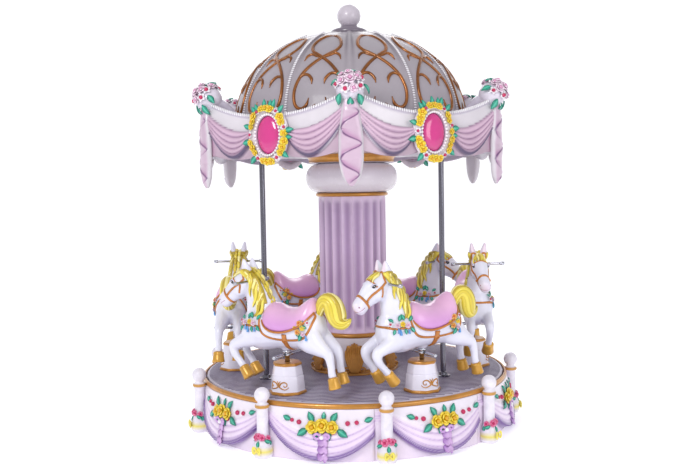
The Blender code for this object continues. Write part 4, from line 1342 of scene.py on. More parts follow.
DECK_PAINT = make_finish("scuffed_deck_paint", tone(196, 189, 206), roughness=0.46, coat=0.12, uneven=0.20,
                         patch=6.0, grain=110.0, bump=0.2)
# The ridges are painted darker than the deck.
RIDGE_PAINT = make_finish("darker_ridge_paint", tone(112, 102, 128), roughness=0.42, coat=0.15, uneven=0.22,
                          patch=9.0, grain=90.0, bump=0.1)
RIDGE_PITCH = 0.034
RIDGE_HALF = 0.0056
vertices, edges = [], []
for row in np.arange(-0.952, 0.955, RIDGE_PITCH):
    edge = (0.968 ** 2 - row ** 2) ** 0.5
    inner = (max(0.285 ** 2 - row ** 2, 0)) ** 0.5
    spans = ((-edge, -inner), (inner, edge)) if inner > 0 else ((-edge, edge),)
    for low, high in spans:
        count = max(int((high - low) / 0.020), 2)
        start = len(vertices)
        vertices += [(x, row, 0.0) for x in np.linspace(low, high, count)]
        edges += [(start + i, start + i + 1) for i in range(count - 1)]
lines = bpy.data.meshes.new("ridge_lines")
lines.from_pydata(vertices, edges, [])
ridges = bpy.data.objects.new("deck_ridges", lines)
scene.collection.objects.link(ridges)
modifier = ridges.modifiers.new("ridges", "NODES")
RIDGE_TREE = ridge_tree()
modifier.node_group = RIDGE_TREE
for key, value in (("Wave", 0.0070), ("Pitch", 0.024), ("Width", RIDGE_HALF), ("Finish", RIDGE_PAINT)):
    modifier[socket_id(RIDGE_TREE, key)] = value
graph = bpy.context.evaluated_depsgraph_get()
ridges.data = bpy.data.meshes.new_from_object(ridges.evaluated_get(graph))
ridges.modifiers.clear()
flatten = Matrix.Diagonal((1, 1, 0.55, 1))
placed(ridges, Matrix.Translation((0, 0, DECK_TOP + 0.0002)) @ flatten)
ridges.data.shade_smooth()
facing_out(ridges)
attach(ridges, "turntable")
for slot in frame["nodes"]["deck"].material_slots:
    slot.material = DECK_PAINT
print("ridges:", triangles(ridges), "triangles")

# %% The gilt rim and the hidden frame
RIM_LOW = SKIRT_HEIGHT + 0.0004
rim_profile = [(0.9935, RIM_LOW), (1.0065, RIM_LOW), (1.0095, RIM_LOW + 0.005), (1.0100, RIM_LOW + 0.013),
               (1.0075, RIM_LOW + 0.022), (1.0020, RIM_LOW + 0.0275), (0.9970, RIM_LOW + 0.0280),
               (0.9935, RIM_LOW + 0.0250)]
sides = 144
points = [(r * cos(2 * pi * k / sides), r * sin(2 * pi * k / sides), z) for r, z in rim_profile for k in range(sides)]
rim = make_object("gilt_rim", points, grid_faces(len(rim_profile), sides, wrap_rows=True, wrap_columns=True),
                  GOLD_PAINT)
facing_out(rim)
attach(rim, "base")
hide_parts("deck_rim")
for slot in frame["nodes"]["base_frame"].material_slots:
    slot.material = DARK_STEEL
print("rim triangles:", triangles(rim))

# %% [markdown]
# ## The draped skirt
#
# Nine bays stand round the base. Each has a white field with a painted bouquet, a deep lilac swag with
# painted shade in its folds and a purple hem, a ribbon with a bow in the middle, and its own ball post.
# As on the canopy, one formula gives the relief and the paint over the bay.

# %% The skirt formulas
SPAN = 2 * pi / SKIRT_BAYS
SKIRT_FIELD = tone(240, 232, 244)
SKIRT_LOWER = tone(238, 224, 242)
SWAG_LIGHT = tone(238, 220, 242)
SWAG_VALLEY_SHADE = tone(196, 166, 216)
PURPLE_HEM = tone(118, 80, 158)
HEM_SHINE = tone(220, 206, 234)


def skirt_look(across, height):
    """Relief and colour of one bay. across runs from -1 at a post to 1 at the next."""
    u = np.clip(np.abs(across), 0, 1)
    hem = 0.024 + 0.205 * u ** 2.1
    top = 0.165 + 0.125 * u ** 1.7
    inside = (height - hem) / (top - hem)
    full = 0.046 * (1 - u ** 3) * np.clip((SKIRT_HEIGHT - height) / (SKIRT_HEIGHT - 0.9 * hem), 0, 1)
    wave = np.abs(np.sin(pi * 4 * np.clip(inside, 0, 1) ** 0.9))
    drape = (inside > 0) & (inside < 1)
    above = inside >= 1
    relief = np.where(drape, full + 0.007 * wave ** 0.7 * (1 - 0.5 * u), 0.004)
    relief = np.where(above, full, relief)
    roll = np.exp(-((height - hem) / 0.0125) ** 2)
    relief = np.maximum(relief, (full + 0.012) * roll)
    low_fold = 0.004 * np.abs(np.sin(across * 9.0)) * np.clip((hem - height) / 0.06, 0, 1)
    relief += low_fold
    colour = np.where(above[..., None], SKIRT_FIELD, SKIRT_LOWER)
    # Painted shade: the folds are darker in their valleys and lighter on their crests.
    folds = blend(SWAG_VALLEY_SHADE, SWAG_LIGHT, wave ** 0.55 * 1.25 - 0.10)
    folds = blend(folds, SKIRT_FIELD, np.clip((inside - 0.72) / 0.3, 0, 1) * 0.8)
    colour = np.where(drape[..., None], folds, colour)
    shine = np.exp(-((height - hem - 0.005) / 0.0035) ** 2)
    colour = blend(colour, blend(PURPLE_HEM, HEM_SHINE, shine * 0.5), roll ** 0.5 * 1.6 * np.clip((0.97 - u) / 0.05, 0, 1))
    return relief, colour


SKIRT_COLUMNS, SKIRT_ROWS = 81, 46
start, end = -radians(3.4), SPAN - radians(3.4) - 0.0003 / SKIRT_RADIUS
angles, heights = np.meshgrid(np.linspace(start, end, SKIRT_COLUMNS), np.linspace(0, SKIRT_HEIGHT, SKIRT_ROWS))
across = 2 * angles / SPAN - 1
across = np.where(across < -1, -1, across)
relief, tints = skirt_look(across, heights)
border = np.clip(np.minimum(angles - start, end - angles) / 0.012, 0, 1)
r = SKIRT_RADIUS + relief * border
front = np.stack([r * np.cos(angles), r * np.sin(angles), heights], -1)
inner = SKIRT_RADIUS - 0.012
edge = np.linspace(start, end, SKIRT_COLUMNS)
back = [np.stack([inner * np.cos(edge), inner * np.sin(edge), np.full_like(edge, z)], -1)
        for z in (SKIRT_HEIGHT, SKIRT_HEIGHT / 2, 0.0)]
grey = np.broadcast_to(tone(180, 172, 190), (3, SKIRT_COLUMNS, 3))
rows = np.concatenate([front, np.array(back)])
faces = grid_faces(len(rows), SKIRT_COLUMNS, wrap_rows=True)
faces.append(tuple(i * SKIRT_COLUMNS for i in range(len(rows))))
faces.append(tuple(i * SKIRT_COLUMNS + SKIRT_COLUMNS - 1 for i in range(len(rows)))[::-1])
skirt_template = make_object("skirt_template", rows, faces, HAND_PAINT, np.concatenate([tints, grey]).reshape(-1, 3))
facing_out(skirt_template)
print("one bay:", triangles(skirt_template), "triangles")

# %% Bouquet and ribbon of one bay
def skirt_point(share, height, lift=0.0):
    """A point on the bay's face, its outward direction and the direction along the bay."""
    look, _ = skirt_look(np.array(share), np.array(height))
    a = (share + 1) / 2 * SPAN
    r = SKIRT_RADIUS + float(look) + lift
    return (np.array([r * cos(a), r * sin(a), height]), Vector((cos(a), sin(a), 0.25)), Vector((-sin(a), cos(a), 0)))


def skirt_spots(entries, size, lift):
    spots = []
    for share, height, scale in entries:
        place, out, _ = skirt_point(share, height, lift)
        spots.append((place, out, RNG.uniform(0, 6), size * scale))
    return spots


def skirt_leaves(entries, size):
    spots = []
    for share, height, lean, scale in entries:
        place, out, along = skirt_point(share, height, 0.002)
        direction = along * cos(radians(lean)) + Vector((0, 0, sin(radians(lean))))
        spots.append(leaf_spot(place, out, direction, size * scale))
    return spots


bouquet = Collector()
ROSES = ((-0.155, 0.198, 1.0), (0.0, 0.208, 1.1), (0.155, 0.200, 1.0))
BUDS = ((-0.38, 0.222, 1.0), (0.40, 0.222, 1.0), (0.54, 0.226, 0.9), (-0.15, 0.172, 0.8), (0.17, 0.170, 0.8),
        (-0.50, 0.230, 0.8))
LEAVES = ((-0.14, 0.226, 120, 1.1), (0.14, 0.226, 60, 1.1), (-0.235, 0.188, 215, 1.2), (0.235, 0.188, -35, 1.2),
          (-0.08, 0.186, 255, 1.0), (0.08, 0.186, 285, 1.0), (-0.52, 0.232, 160, 0.9), (0.66, 0.232, 20, 0.9),
          (0.02, 0.238, 88, 0.8))
bouquet.add_object(scattered("skirt_roses", YELLOW_ROSE, skirt_spots(ROSES, 0.076, 0.001), FLOWER_PAINT))
bouquet.add_object(scattered("skirt_buds", BUD, skirt_spots(BUDS, 0.030, 0.001), FLOWER_PAINT))
bouquet.add_object(scattered("skirt_leaves", LEAF, skirt_leaves(LEAVES, 0.060), FLOWER_PAINT))

RIBBON_LILAC = tone(214, 176, 226)
tail = []
for i, height in enumerate(np.linspace(0.158, 0.022, 30)):
    place, out, along = skirt_point(0.02 + 0.035 * sin(i * 0.75), height, 0.006 + 0.004 * sin(i * 0.75 + 1))
    tail.append(place)
normal = np.array(skirt_point(0.0, 0.1)[1])
points, faces = strand(tail, normal, 0.021 + 0.006 * np.sin(np.arange(30) * 0.75 + 2), 0.0045, 8)
# The ribbon alternates darker and lighter purple along its waves: painted shade on its folds.
bouquet.add(points, faces, blend(tone(168, 118, 196), RIBBON_LILAC, 0.5 + 0.5 * np.sin(np.arange(30) * 0.75 + 0.6)
                                 ).repeat(8, axis=0))
for side in (-1, 1):
    loop = curve_through([skirt_point(side * s, h, l)[0] for s, h, l in
                          ((0.0, 0.150, 0.010), (0.07, 0.168, 0.022), (0.12, 0.156, 0.018), (0.08, 0.140, 0.010),
                           (0.0, 0.146, 0.008))], 24)
    points, faces = strand(loop, normal, 0.0075, 0.0040, 8)
    bouquet.add(points, faces, tone(206, 162, 222))
place, out, _ = skirt_point(0.0, 0.148, 0.012)
bouquet.add(*ball(0.013, place, 12, 8, tone(250, 246, 252)))
bouquet_template = bouquet.make("bouquet_template", FLOWER_PAINT)
print("bouquet:", triangles(bouquet_template), "triangles")

# %% [markdown]
# ## The ball posts
#
# A white post stands between two bays, with a gilt collar under its ball, and a vase-shaped foot with
# pink flowers, teal leaves and a yellow ribbon. The turned part is cut flat behind, where it meets the
# skirt, and its paint follows its height.

# %% One ball post
def post_profile():
    profile = [(0.040, 0.0), (0.050, 0.004), (0.056, 0.020), (0.057, 0.045), (0.054, 0.072), (0.047, 0.094),
               (0.038, 0.110), (0.034, 0.126), (0.0335, 0.200), (0.0335, 0.282), (0.036, 0.288), (0.041, 0.292),
               (0.0425, 0.299), (0.041, 0.306), (0.034, 0.312), (0.026, 0.318)]
    for i in range(5, 23):
        a = -pi / 2 + pi * i / 23
        profile.append((0.045 * cos(a), 0.362 + 0.045 * sin(a)))
    profile.append((0.004, 0.4068))
    return profile


POST_SIDES = 28
profile = post_profile()
points, tints = [], []
for r, z in profile:
    for k in range(POST_SIDES):
        a = 2 * pi * k / POST_SIDES
        back_limit = 0.042 if z < SKIRT_HEIGHT else 0.046
        points.append((POST_RING + max(r * cos(a), -back_limit), r * sin(a), z))
        if 0.288 < z < 0.311:
            tints.append(tone(206, 150, 66))
        elif 0.040 < z < 0.060:
            tints.append(tone(240, 226, 110))
        else:
            tints.append(tone(238, 233, 244))
faces = grid_faces(len(profile), POST_SIDES, wrap_columns=True)
faces += [tuple(range(POST_SIDES))[::-1], tuple((len(profile) - 1) * POST_SIDES + k for k in range(POST_SIDES))]
post = Collector()
post.add(points, faces, np.array(tints))


def post_spots(entries, size):
    spots = []
    for side, z, scale in entries:
        a = radians(side)
        r = float(np.interp(z, [p[1] for p in profile[:12]], [p[0] for p in profile[:12]]))
        out = Vector((cos(a), sin(a), 0.2))
        spots.append((Vector((POST_RING + r * cos(a), r * sin(a), z)), out, RNG.uniform(0, 6), size * scale))
    return spots


post.add_object(scattered("post_roses", HOT_ROSE, post_spots(((-28, 0.122, 1.0), (30, 0.124, 0.9), (2, 0.132, 0.8),
                                                              (-80, 0.118, 0.8), (82, 0.118, 0.8)), 0.046),
                          FLOWER_PAINT))
spots = []
for side, z, lean in ((0, 0.104, -90), (-48, 0.108, 200), (48, 0.108, -20), (-100, 0.108, -90), (100, 0.108, -90)):
    place, out, _, size = post_spots(((side, z, 1.0),), 0.042)[0]
    a = radians(side)
    along = Vector((-sin(a), cos(a), 0)) * cos(radians(lean)) + Vector((0, 0, sin(radians(lean))))
    spots.append(leaf_spot(place, out, along, size))
post.add_object(scattered("post_leaves", LEAF, spots, FLOWER_PAINT))
for side in (-1, 1):
    loop = [(POST_RING + 0.060 + 0.008 * sin(t), side * (0.004 + 0.020 * sin(t)), 0.050 + 0.018 * sin(2 * t) + 0.004)
            for t in np.linspace(0, pi, 16)]
    points, faces = strand(loop, (1.0, 0, 0), 0.0065, 0.0045, 8)
    post.add(points, faces, tone(246, 232, 96))
post.add(*ball(0.009, (POST_RING + 0.062, 0, 0.052), 10, 6, tone(244, 222, 90)))
post_template = post.make("post_template", FLOWER_PAINT)

for index, angle in enumerate(SKIRT_ANGLES, 1):
    turn = round_z(angle)
    skirt = copied(f"skirt_drapery_{index}", skirt_template, turn)
    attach(skirt, "base")
    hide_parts(f"skirt_bay_{index}")
    for name, template in (("skirt_bouquet", bouquet_template), ("ball_post", post_template)):
        piece = copied(f"{name}_{index}", template, turn)
        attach(piece, "base")
for template in (skirt_template, bouquet_template, post_template):
    bpy.data.objects.remove(template)
print("skirt bays and posts are in place")

# %% [markdown]
# ## The horse
#
# One horse is modelled and set out six times. It begins as rounded limbs, each an oval that is swept
# through a few measured stations, the same ones that the solids use. A voxel remesh melts them into one
# skin, as a sculptor would blend clay, and a smoothing pass softens the joints. Local X is forwards,
# local Y points away from the column, and Z starts at the deck.

# %% Body stations: x, y, z, half height, half width
TORSO = ((-0.262, 0, 0.400, 0.020, 0.020), (-0.246, 0, 0.400, 0.070, 0.060), (-0.205, 0, 0.400, 0.110, 0.092),
         (-0.140, 0, 0.390, 0.120, 0.104), (-0.040, 0, 0.380, 0.114, 0.101), (0.060, 0, 0.376, 0.116, 0.101),
         (0.150, 0, 0.377, 0.136, 0.103), (0.225, 0, 0.392, 0.130, 0.092), (0.276, 0, 0.407, 0.088, 0.062),
         (0.300, 0, 0.412, 0.030, 0.026))
NECK = ((0.140, 0, 0.380, 0.122, 0.086), (0.168, 0, 0.460, 0.110, 0.074), (0.192, 0, 0.540, 0.092, 0.060),
        (0.220, 0, 0.615, 0.074, 0.050), (0.246, 0, 0.672, 0.054, 0.042))
HEAD = ((0.228, 0, 0.698, 0.018, 0.018), (0.245, 0, 0.687, 0.044, 0.038), (0.282, 0.001, 0.660, 0.064, 0.048),
        (0.317, 0.003, 0.632, 0.073, 0.051), (0.349, 0.005, 0.608, 0.072, 0.047), (0.381, 0.009, 0.584, 0.060, 0.038),
        (0.411, 0.013, 0.557, 0.051, 0.036), (0.436, 0.018, 0.533, 0.049, 0.037), (0.452, 0.020, 0.518, 0.042, 0.032),
        (0.462, 0.021, 0.510, 0.018, 0.014))
FORELEG_NEAR = ((0.150, 0.042, 0.355, 0.082, 0.048), (0.232, 0.054, 0.318, 0.058, 0.042),
                (0.300, 0.058, 0.290, 0.040, 0.033), (0.348, 0.060, 0.262, 0.033, 0.029),
                (0.337, 0.062, 0.212, 0.024, 0.023), (0.300, 0.062, 0.170, 0.021, 0.021),
                (0.276, 0.062, 0.142, 0.024, 0.023))
FORELEG_FAR = ((0.150, -0.042, 0.355, 0.082, 0.048), (0.234, -0.054, 0.322, 0.058, 0.042),
               (0.302, -0.058, 0.296, 0.040, 0.033), (0.350, -0.060, 0.266, 0.033, 0.029),
               (0.344, -0.062, 0.214, 0.024, 0.023), (0.310, -0.062, 0.168, 0.021, 0.021),
               (0.290, -0.062, 0.138, 0.024, 0.023))
HINDLEG_NEAR = ((-0.150, 0.038, 0.375, 0.098, 0.050), (-0.205, 0.050, 0.332, 0.082, 0.048),
                (-0.262, 0.057, 0.297, 0.054, 0.040), (-0.322, 0.060, 0.262, 0.033, 0.029),
                (-0.341, 0.062, 0.205, 0.023, 0.023), (-0.346, 0.062, 0.160, 0.022, 0.022),
                (-0.352, 0.062, 0.134, 0.025, 0.024))
HINDLEG_FAR = ((-0.150, -0.038, 0.375, 0.098, 0.050), (-0.200, -0.050, 0.334, 0.082, 0.048),
               (-0.255, -0.057, 0.302, 0.054, 0.040), (-0.310, -0.060, 0.268, 0.033, 0.029),
               (-0.327, -0.062, 0.212, 0.023, 0.023), (-0.332, -0.062, 0.166, 0.022, 0.022),
               (-0.338, -0.062, 0.138, 0.025, 0.024))
HOOVES = (((0.278, 0.062, 0.143), (0.232, 0.062, 0.082)), ((0.292, -0.062, 0.140), (0.252, -0.062, 0.078)),
          ((-0.353, 0.062, 0.132), (-0.368, 0.062, 0.070)), ((-0.338, -0.062, 0.136), (-0.353, -0.062, 0.074)))
EAR = ((0.254, 0.027, 0.700, 0.030, 0.025), (0.262, 0.033, 0.722, 0.038, 0.024), (0.268, 0.038, 0.752, 0.027, 0.018),
       (0.276, 0.043, 0.793, 0.008, 0.007))


def limb(stations, sides=20, count=26):
    """An oval section swept through the stations, closed at both ends."""
    values = curve_through(stations, count)
    path = values[:, :3]
    along = np.gradient(path, axis=0)
    forward = unit(np.stack([along[:, 0], along[:, 0] * 0, along[:, 2]], -1))
    across = np.stack([-forward[:, 2], forward[:, 0] * 0, forward[:, 0]], -1)
    angles = 2 * pi * np.arange(sides) / sides
    rings = (path[:, None] + across[:, None] * (values[:, 3][:, None] * np.sin(angles))[..., None]
             + np.array((0, 1.0, 0)) * (values[:, 4][:, None] * np.cos(angles))[..., None])
    faces = grid_faces(count, sides, wrap_columns=True)
    faces += [tuple(range(sides))[::-1], tuple((count - 1) * sides + k for k in range(sides))]
    return rings.reshape(-1, 3), faces


def blob(centre, radii):
    points, faces, _ = ball(1.0, (0, 0, 0), 16, 12, None)
    return points * np.array(radii) + np.array(centre), faces


BLACK = tone(24, 20, 26)
clay = Collector()
for stations in (TORSO, NECK, HEAD, FORELEG_NEAR, FORELEG_FAR, HINDLEG_NEAR, HINDLEG_FAR):
    clay.add(*limb(stations), BLACK)
for side in (1, -1):
    clay.add(*limb([(x, y * side, z, up, half) for x, y, z, up, half in EAR], 12, 12), BLACK)
    clay.add(*blob((0.322, side * 0.026 + 0.003, 0.605), (0.046, 0.030, 0.046)), BLACK)   # cheek
    clay.add(*blob((0.352, side * 0.030 + 0.006, 0.655), (0.024, 0.016, 0.018)), BLACK)   # brow
    clay.add(*blob((0.450, side * 0.018 + 0.020, 0.534), (0.018, 0.013, 0.017)), BLACK)   # nostril wing
    clay.add(*blob((0.225, side * 0.050, 0.372), (0.062, 0.050, 0.085)), BLACK)   # shoulder
    clay.add(*blob((-0.175, side * 0.050, 0.385), (0.075, 0.056, 0.100)), BLACK)   # haunch
clay.add(*blob((0.430, 0.017, 0.503), (0.022, 0.020, 0.014)), BLACK)   # lower lip
clay.add(*blob((0.0, 0.0, 0.268), (0.034, 0.034, 0.022)), BLACK)   # socket of the rod
body = facing_out(clay.make("horse_clay", HAND_PAINT))
remesh = body.modifiers.new("remesh", "REMESH")
remesh.mode = "VOXEL"
remesh.voxel_size = 0.0056
soften = body.modifiers.new("soften", "SMOOTH")
soften.factor = 0.6
soften.iterations = 7
thin = body.modifiers.new("thin", "DECIMATE")
thin.ratio = 0.20
graph = bpy.context.evaluated_depsgraph_get()
skin = bpy.data.meshes.new_from_object(body.evaluated_get(graph))
body.modifiers.clear()
body.data = skin
skin.shade_smooth()
TREE = BVHTree.FromPolygons([v.co.copy() for v in skin.vertices], [tuple(f.vertices) for f in skin.polygons])
print("horse skin:", triangles(body), "triangles")

# %% [markdown]
# ## Painting the horse
#
# The skin is blue-white, with painted shade on the faces that look down, and pink inside the ears and round the muzzle.
# The colour is again a formula of the place, so every horse is brushed alike. To dress it, two helpers
# throw rays at the skin: one presses a drawn side view onto a flank, the other wraps a ring round a
# limb. Straps, hair and flowers then lie on the surface instead of floating over it.

# %% Skin colours and surface helpers
COAT_WHITE = tone(230, 229, 243)
COAT_SHADE = tone(188, 186, 218)
MUZZLE_PINK = tone(236, 205, 222)
points = np.array([v.co for v in skin.vertices])
normals = np.array([v.normal for v in skin.vertices])
# Painted shade: the skin darkens to grey-lilac where it faces downwards.
under = np.clip(-normals[:, 2] * 0.8, 0, 1)
skin_colours = blend(COAT_WHITE, COAT_SHADE, under * 0.75)
muzzle = np.exp(-(np.linalg.norm(points - np.array((0.462, 0.02, 0.520)), axis=1) / 0.038) ** 2)
skin_colours = blend(skin_colours, MUZZLE_PINK, muzzle * 0.6)
inner_ear = ((points[:, 2] > 0.722) & (normals[:, 0] > 0.35)).astype(float)
skin_colours = blend(skin_colours, tone(236, 196, 212), inner_ear * 0.45)
set_paint(skin, skin_colours)


def press(x, z, side, lift=0.0):
    """The point of the flank at x and z, seen from one side, and its outward direction."""
    hit, normal, _, _ = TREE.ray_cast(Vector((x, side * 0.6, z)), Vector((0, -side, 0)))
    if hit is None:
        near, normal, _, _ = TREE.find_nearest(Vector((x, side * 0.05, z)))
        hit = near
    return np.array(hit + normal * lift), np.array(normal)


def press_path(drawing, side, count, lift=0.0):
    flat = curve_through(drawing, count)
    hits = [press(x, z, side, lift) for x, z in flat]
    return np.array([h[0] for h in hits]), np.array([h[1] for h in hits])


def wrap(centre, first, second, start, stop, count, lift=0.0, reach=0.40):
    """Points round a limb, in the plane of two directions, from one angle to another in degrees."""
    centre, first, second = Vector(centre), Vector(first).normalized(), Vector(second).normalized()
    path, normals = [], []
    for a in np.radians(np.linspace(start, stop, count)):
        out = first * cos(a) + second * sin(a)
        hit, normal, _, _ = TREE.ray_cast(centre + out * reach, -out)
        if hit is None:
            continue
        path.append(hit + normal * lift)
        normals.append(normal)
    return np.array(path), np.array(normals)


def settled(path, passes=2):
    """Evens out small steps in a path that follows the skin."""
    path = path.copy()
    for _ in range(passes):
        path[1:-1] = (path[:-2] + 2 * path[1:-1] + path[2:]) / 4
    return path


print("flank at the girth:", np.round(press(-0.03, 0.38, 1)[0], 3))

# %% [markdown]
# ## Mane, forelock and tail
#
# The hair is carved in fat strands, yellow with a painted highlight on the upper crest of each lock. Each
# lock is a swept strand with tapered ends. The locks of the mane start at the crest and run down the
# neck, the tail is a bundle of locks round one curved path, and neighbouring locks take slightly
# different yellows.

# %% Hair
HAIR_TONES = (tone(230, 212, 80), tone(216, 194, 58), tone(242, 231, 148), tone(190, 164, 44))
CREST = curve_through([(0.272, 0.734), (0.238, 0.730), (0.200, 0.700), (0.160, 0.648), (0.126, 0.588),
                       (0.102, 0.530), (0.088, 0.490)], 60)


def lock(path, normals, width, height, colour):
    count = len(path)
    share = np.linspace(0, 1, count)
    taper = np.clip(np.sin(pi * np.clip(share * 0.90 + 0.09, 0, 1)), 0.08, 1) ** 0.55
    points, faces = strand(settled(path), normals, width * taper, height * taper, 6)
    # Painted light: each lock is lighter along its upper side and darker round its lower side.
    crests = np.tile(np.clip(np.sin(2 * pi * np.arange(6) / 6), 0, 1), count)
    colours = blend(np.broadcast_to(colour * 0.55, (len(points), 3)), np.minimum(colour * 1.12, 1.0), 0.25 + crests)
    hair.add(points, faces, colours)


hair = Collector()
for side in (1, -1):
    drawing = [(x + 0.020, z - 0.022) for x, z in CREST[4:52:6]]
    path, normals = press_path(drawing, side, 30, 0.000)
    # A darker strip under the locks of the mane: painted shade.
    points, faces = strand(settled(path), normals, np.interp(np.linspace(0, 1, 30), (0, 0.3, 1), (0.020, 0.036, 0.026)),
                           0.0085, 12)
    hair.add(points, faces, HAIR_TONES[3] * 0.92)
    for k in range(13):
        start = k * 3.6
        drawing = []
        for step in range(7):
            s = step / 6
            x, z = [np.interp(start + 18 * s, np.arange(60), CREST[:, c]) for c in (0, 1)]
            wave = 0.006 * sin(s * 7 + k * 1.7)
            out = 0.034 if k < 4 else 0.052 + 0.010 * (k % 3)
            drawing.append((x + 0.010 + out * s ** 0.8 + wave, z - 0.012 - 0.030 * s + wave))
        path, normals = press_path(drawing, side, 14, 0.004)
        lock(path, normals, 0.0125, 0.0110, HAIR_TONES[k % 4])
for k in range(15):
    i = k * 3.7
    x, z = [np.interp(i, np.arange(60), CREST[:, c]) for c in (0, 1)]
    x2, z2 = [np.interp(min(i + 9, 59), np.arange(60), CREST[:, c]) for c in (0, 1)]
    path = curve_through([(x, 0.006 * (-1) ** k, z - 0.012), ((x + x2) / 2 - 0.010, 0.012 * (-1) ** k, (z + z2) / 2),
                          (x2 - 0.006, 0.010 * (-1) ** k, z2 - 0.010)], 12)
    lock(path, np.broadcast_to((-0.8, 0, 0.6), path.shape), 0.013, 0.012, HAIR_TONES[(k + 1) % 4])
for k in range(7):
    offset = (k - 3) / 3
    path, normals = [], []
    for s in np.linspace(0, 1, 14):
        x = 0.258 + 0.098 * s
        y = offset * (0.012 + 0.026 * s) + 0.004 * sin(7 * s + k)
        hit, normal, _, _ = TREE.ray_cast(Vector((x + 0.10, y, 0.86)), Vector((-0.45, 0, -0.9)))
        if hit is not None:
            path.append(hit + normal * 0.004)
            normals.append(normal)
    if len(path) > 5:
        lock(np.array(path), np.array(normals), 0.0090, 0.0085, HAIR_TONES[k % 4])

TAIL = ((-0.222, 0, 0.470, 0.024), (-0.248, 0, 0.538, 0.034), (-0.284, -0.002, 0.566, 0.044),
        (-0.322, -0.005, 0.540, 0.052), (-0.340, -0.008, 0.486, 0.054), (-0.358, -0.012, 0.444, 0.046),
        (-0.390, -0.016, 0.434, 0.031), (-0.418, -0.018, 0.448, 0.017), (-0.430, -0.020, 0.466, 0.006))
tail = curve_through(TAIL, 28)
tail_along = unit(np.gradient(tail[:, :3], axis=0))
tail_up = unit(np.stack([-tail_along[:, 2], tail_along[:, 0] * 0, tail_along[:, 0]], -1))
for k in range(14):
    phase = 2 * pi * k / 14
    share = np.linspace(0, 1, 28)
    turn = phase + 0.9 * share
    radius = tail[:, 3] * 0.80
    path = (tail[:, :3] + tail_up * (radius * np.sin(turn))[:, None]
            + np.array((0, 1.0, 0)) * (radius * 0.85 * np.cos(turn))[:, None])
    outward = unit(path - tail[:, :3] + 1e-6)
    stop = 28 - (k % 4)
    lock(path[:stop], outward[:stop], tail[:stop, 3] * 0.33 + 0.002, tail[:stop, 3] * 0.36 + 0.002, HAIR_TONES[k % 4])
# A darker core inside the tail: painted shade between the locks.
core_points, core_faces = strand(tail[:, :3], tail_up, tail[:, 3] * 0.74, tail[:, 3] * 0.74, 12)
hair.add(core_points, core_faces, HAIR_TONES[3] * 0.8)
hair_object = hair.make("horse_hair", HAND_PAINT)
print("hair:", triangles(hair_object), "triangles")

# %% [markdown]
# ## Saddle, tack and face
#
# The saddle is a lilac-pink shell with a raised cantle. It is a grid over two measured lines, its ridge
# and the lower edge of its flaps, with a tucked-in rim. Bronze-gold straps follow the skin: the bridle,
# the girth, and the double trim round the saddle. The eyes are dark glossy balls with a painted white
# highlight, under a moulded lid.

# %% The saddle
SADDLE_X = (0.132, 0.115, 0.085, 0.045, 0.000, -0.050, -0.100, -0.145, -0.180, -0.205, -0.226)
RIDGE_Z = (0.500, 0.520, 0.537, 0.534, 0.517, 0.512, 0.523, 0.552, 0.574, 0.570, 0.530)
FLAP_Z = (0.462, 0.425, 0.395, 0.379, 0.374, 0.378, 0.392, 0.410, 0.432, 0.460, 0.494)
SEAT_WIDTH = (0.070, 0.094, 0.108, 0.115, 0.117, 0.117, 0.116, 0.113, 0.105, 0.090, 0.060)
lines = curve_through(np.stack([SADDLE_X, RIDGE_Z, FLAP_Z, SEAT_WIDTH], -1), 36)
rings, tints = [], []
for x, ridge_z, flap_z, width in lines:
    centre = 0.402
    low = asin(max(-0.7, min(0.9, (flap_z - centre) / (ridge_z - centre))))
    outer_side, inner_side = [], []
    for t in np.linspace(0, 1, 27):
        a = low + (pi - 2 * low) * t
        point = np.array((x, width * cos(a), centre + (ridge_z - centre) * sin(a)))
        flat = np.array((0.0, cos(a), sin(a)))
        tuck = min(t, 1 - t) * 27
        outer_side.append(point - flat * 0.006 * max(0.0, 1 - tuck / 2))
        inner_side.append(point - flat * 0.020)
        depth = np.clip((point[2] - 0.38) / 0.12, 0, 1)
        tints.append(tone(205, 140, 212) * (1 - depth) + tone(232, 182, 218) * depth)
    rings.append(outer_side + inner_side[::-1])
    tints += [tone(190, 140, 200)] * 27
faces = grid_faces(36, 54, wrap_columns=True)
faces += [tuple(range(54))[::-1], tuple(35 * 54 + k for k in range(54))]
figure = Collector()
figure.add_object(body)
figure.add_object(hair_object)
figure.add(np.array(rings), faces, np.array(tints))

# %% Eyes, nostrils and mouth
for side in (1, -1):
    place, normal = press(0.356, 0.650, side, 0.0)
    figure.add(*ball(0.0125, place - normal * 0.003, 14, 10, BLACK))
    # A small white ball on the eye: a painted highlight.
    figure.add(*ball(0.0030, place + normal * 0.0085 + np.array((0.003, 0, 0.004)), 6, 5, tone(250, 250, 255)))
    lid = [place + normal * 0.005 + np.array((0.016 * cos(t), 0, 0.0125 * sin(t) + 0.001)) for t in np.linspace(0.1, pi - 0.1, 14)]
    points, faces = strand(lid, normal, 0.0030, 0.0055, 8)
    figure.add(points, faces, tone(214, 208, 232))
    lash = [place + normal * 0.0085 + np.array((0.0135 * cos(t), 0, 0.0100 * sin(t))) for t in np.linspace(0.2, pi - 0.2, 12)]
    points, faces = strand(lash, normal, 0.0016, 0.0016, 6)
    figure.add(points, faces, BLACK)
    place, normal = press(0.456, 0.538, side, -0.002)
    figure.add(*ball(0.0052, place, 8, 6, tone(150, 92, 122)))
mouth, mouth_normals = wrap((0.428, 0.017, 0.528), (0, 1, 0), (0.86, 0, -0.50), -20, 200, 26, 0.0004, 0.08)
points, faces = strand(settled(mouth), mouth_normals, 0.0018, 0.0014, 6)
figure.add(points, faces, tone(176, 120, 150))
figure_template = figure.make("figure_template", HAND_PAINT)
print("figure:", triangles(figure_template), "triangles")

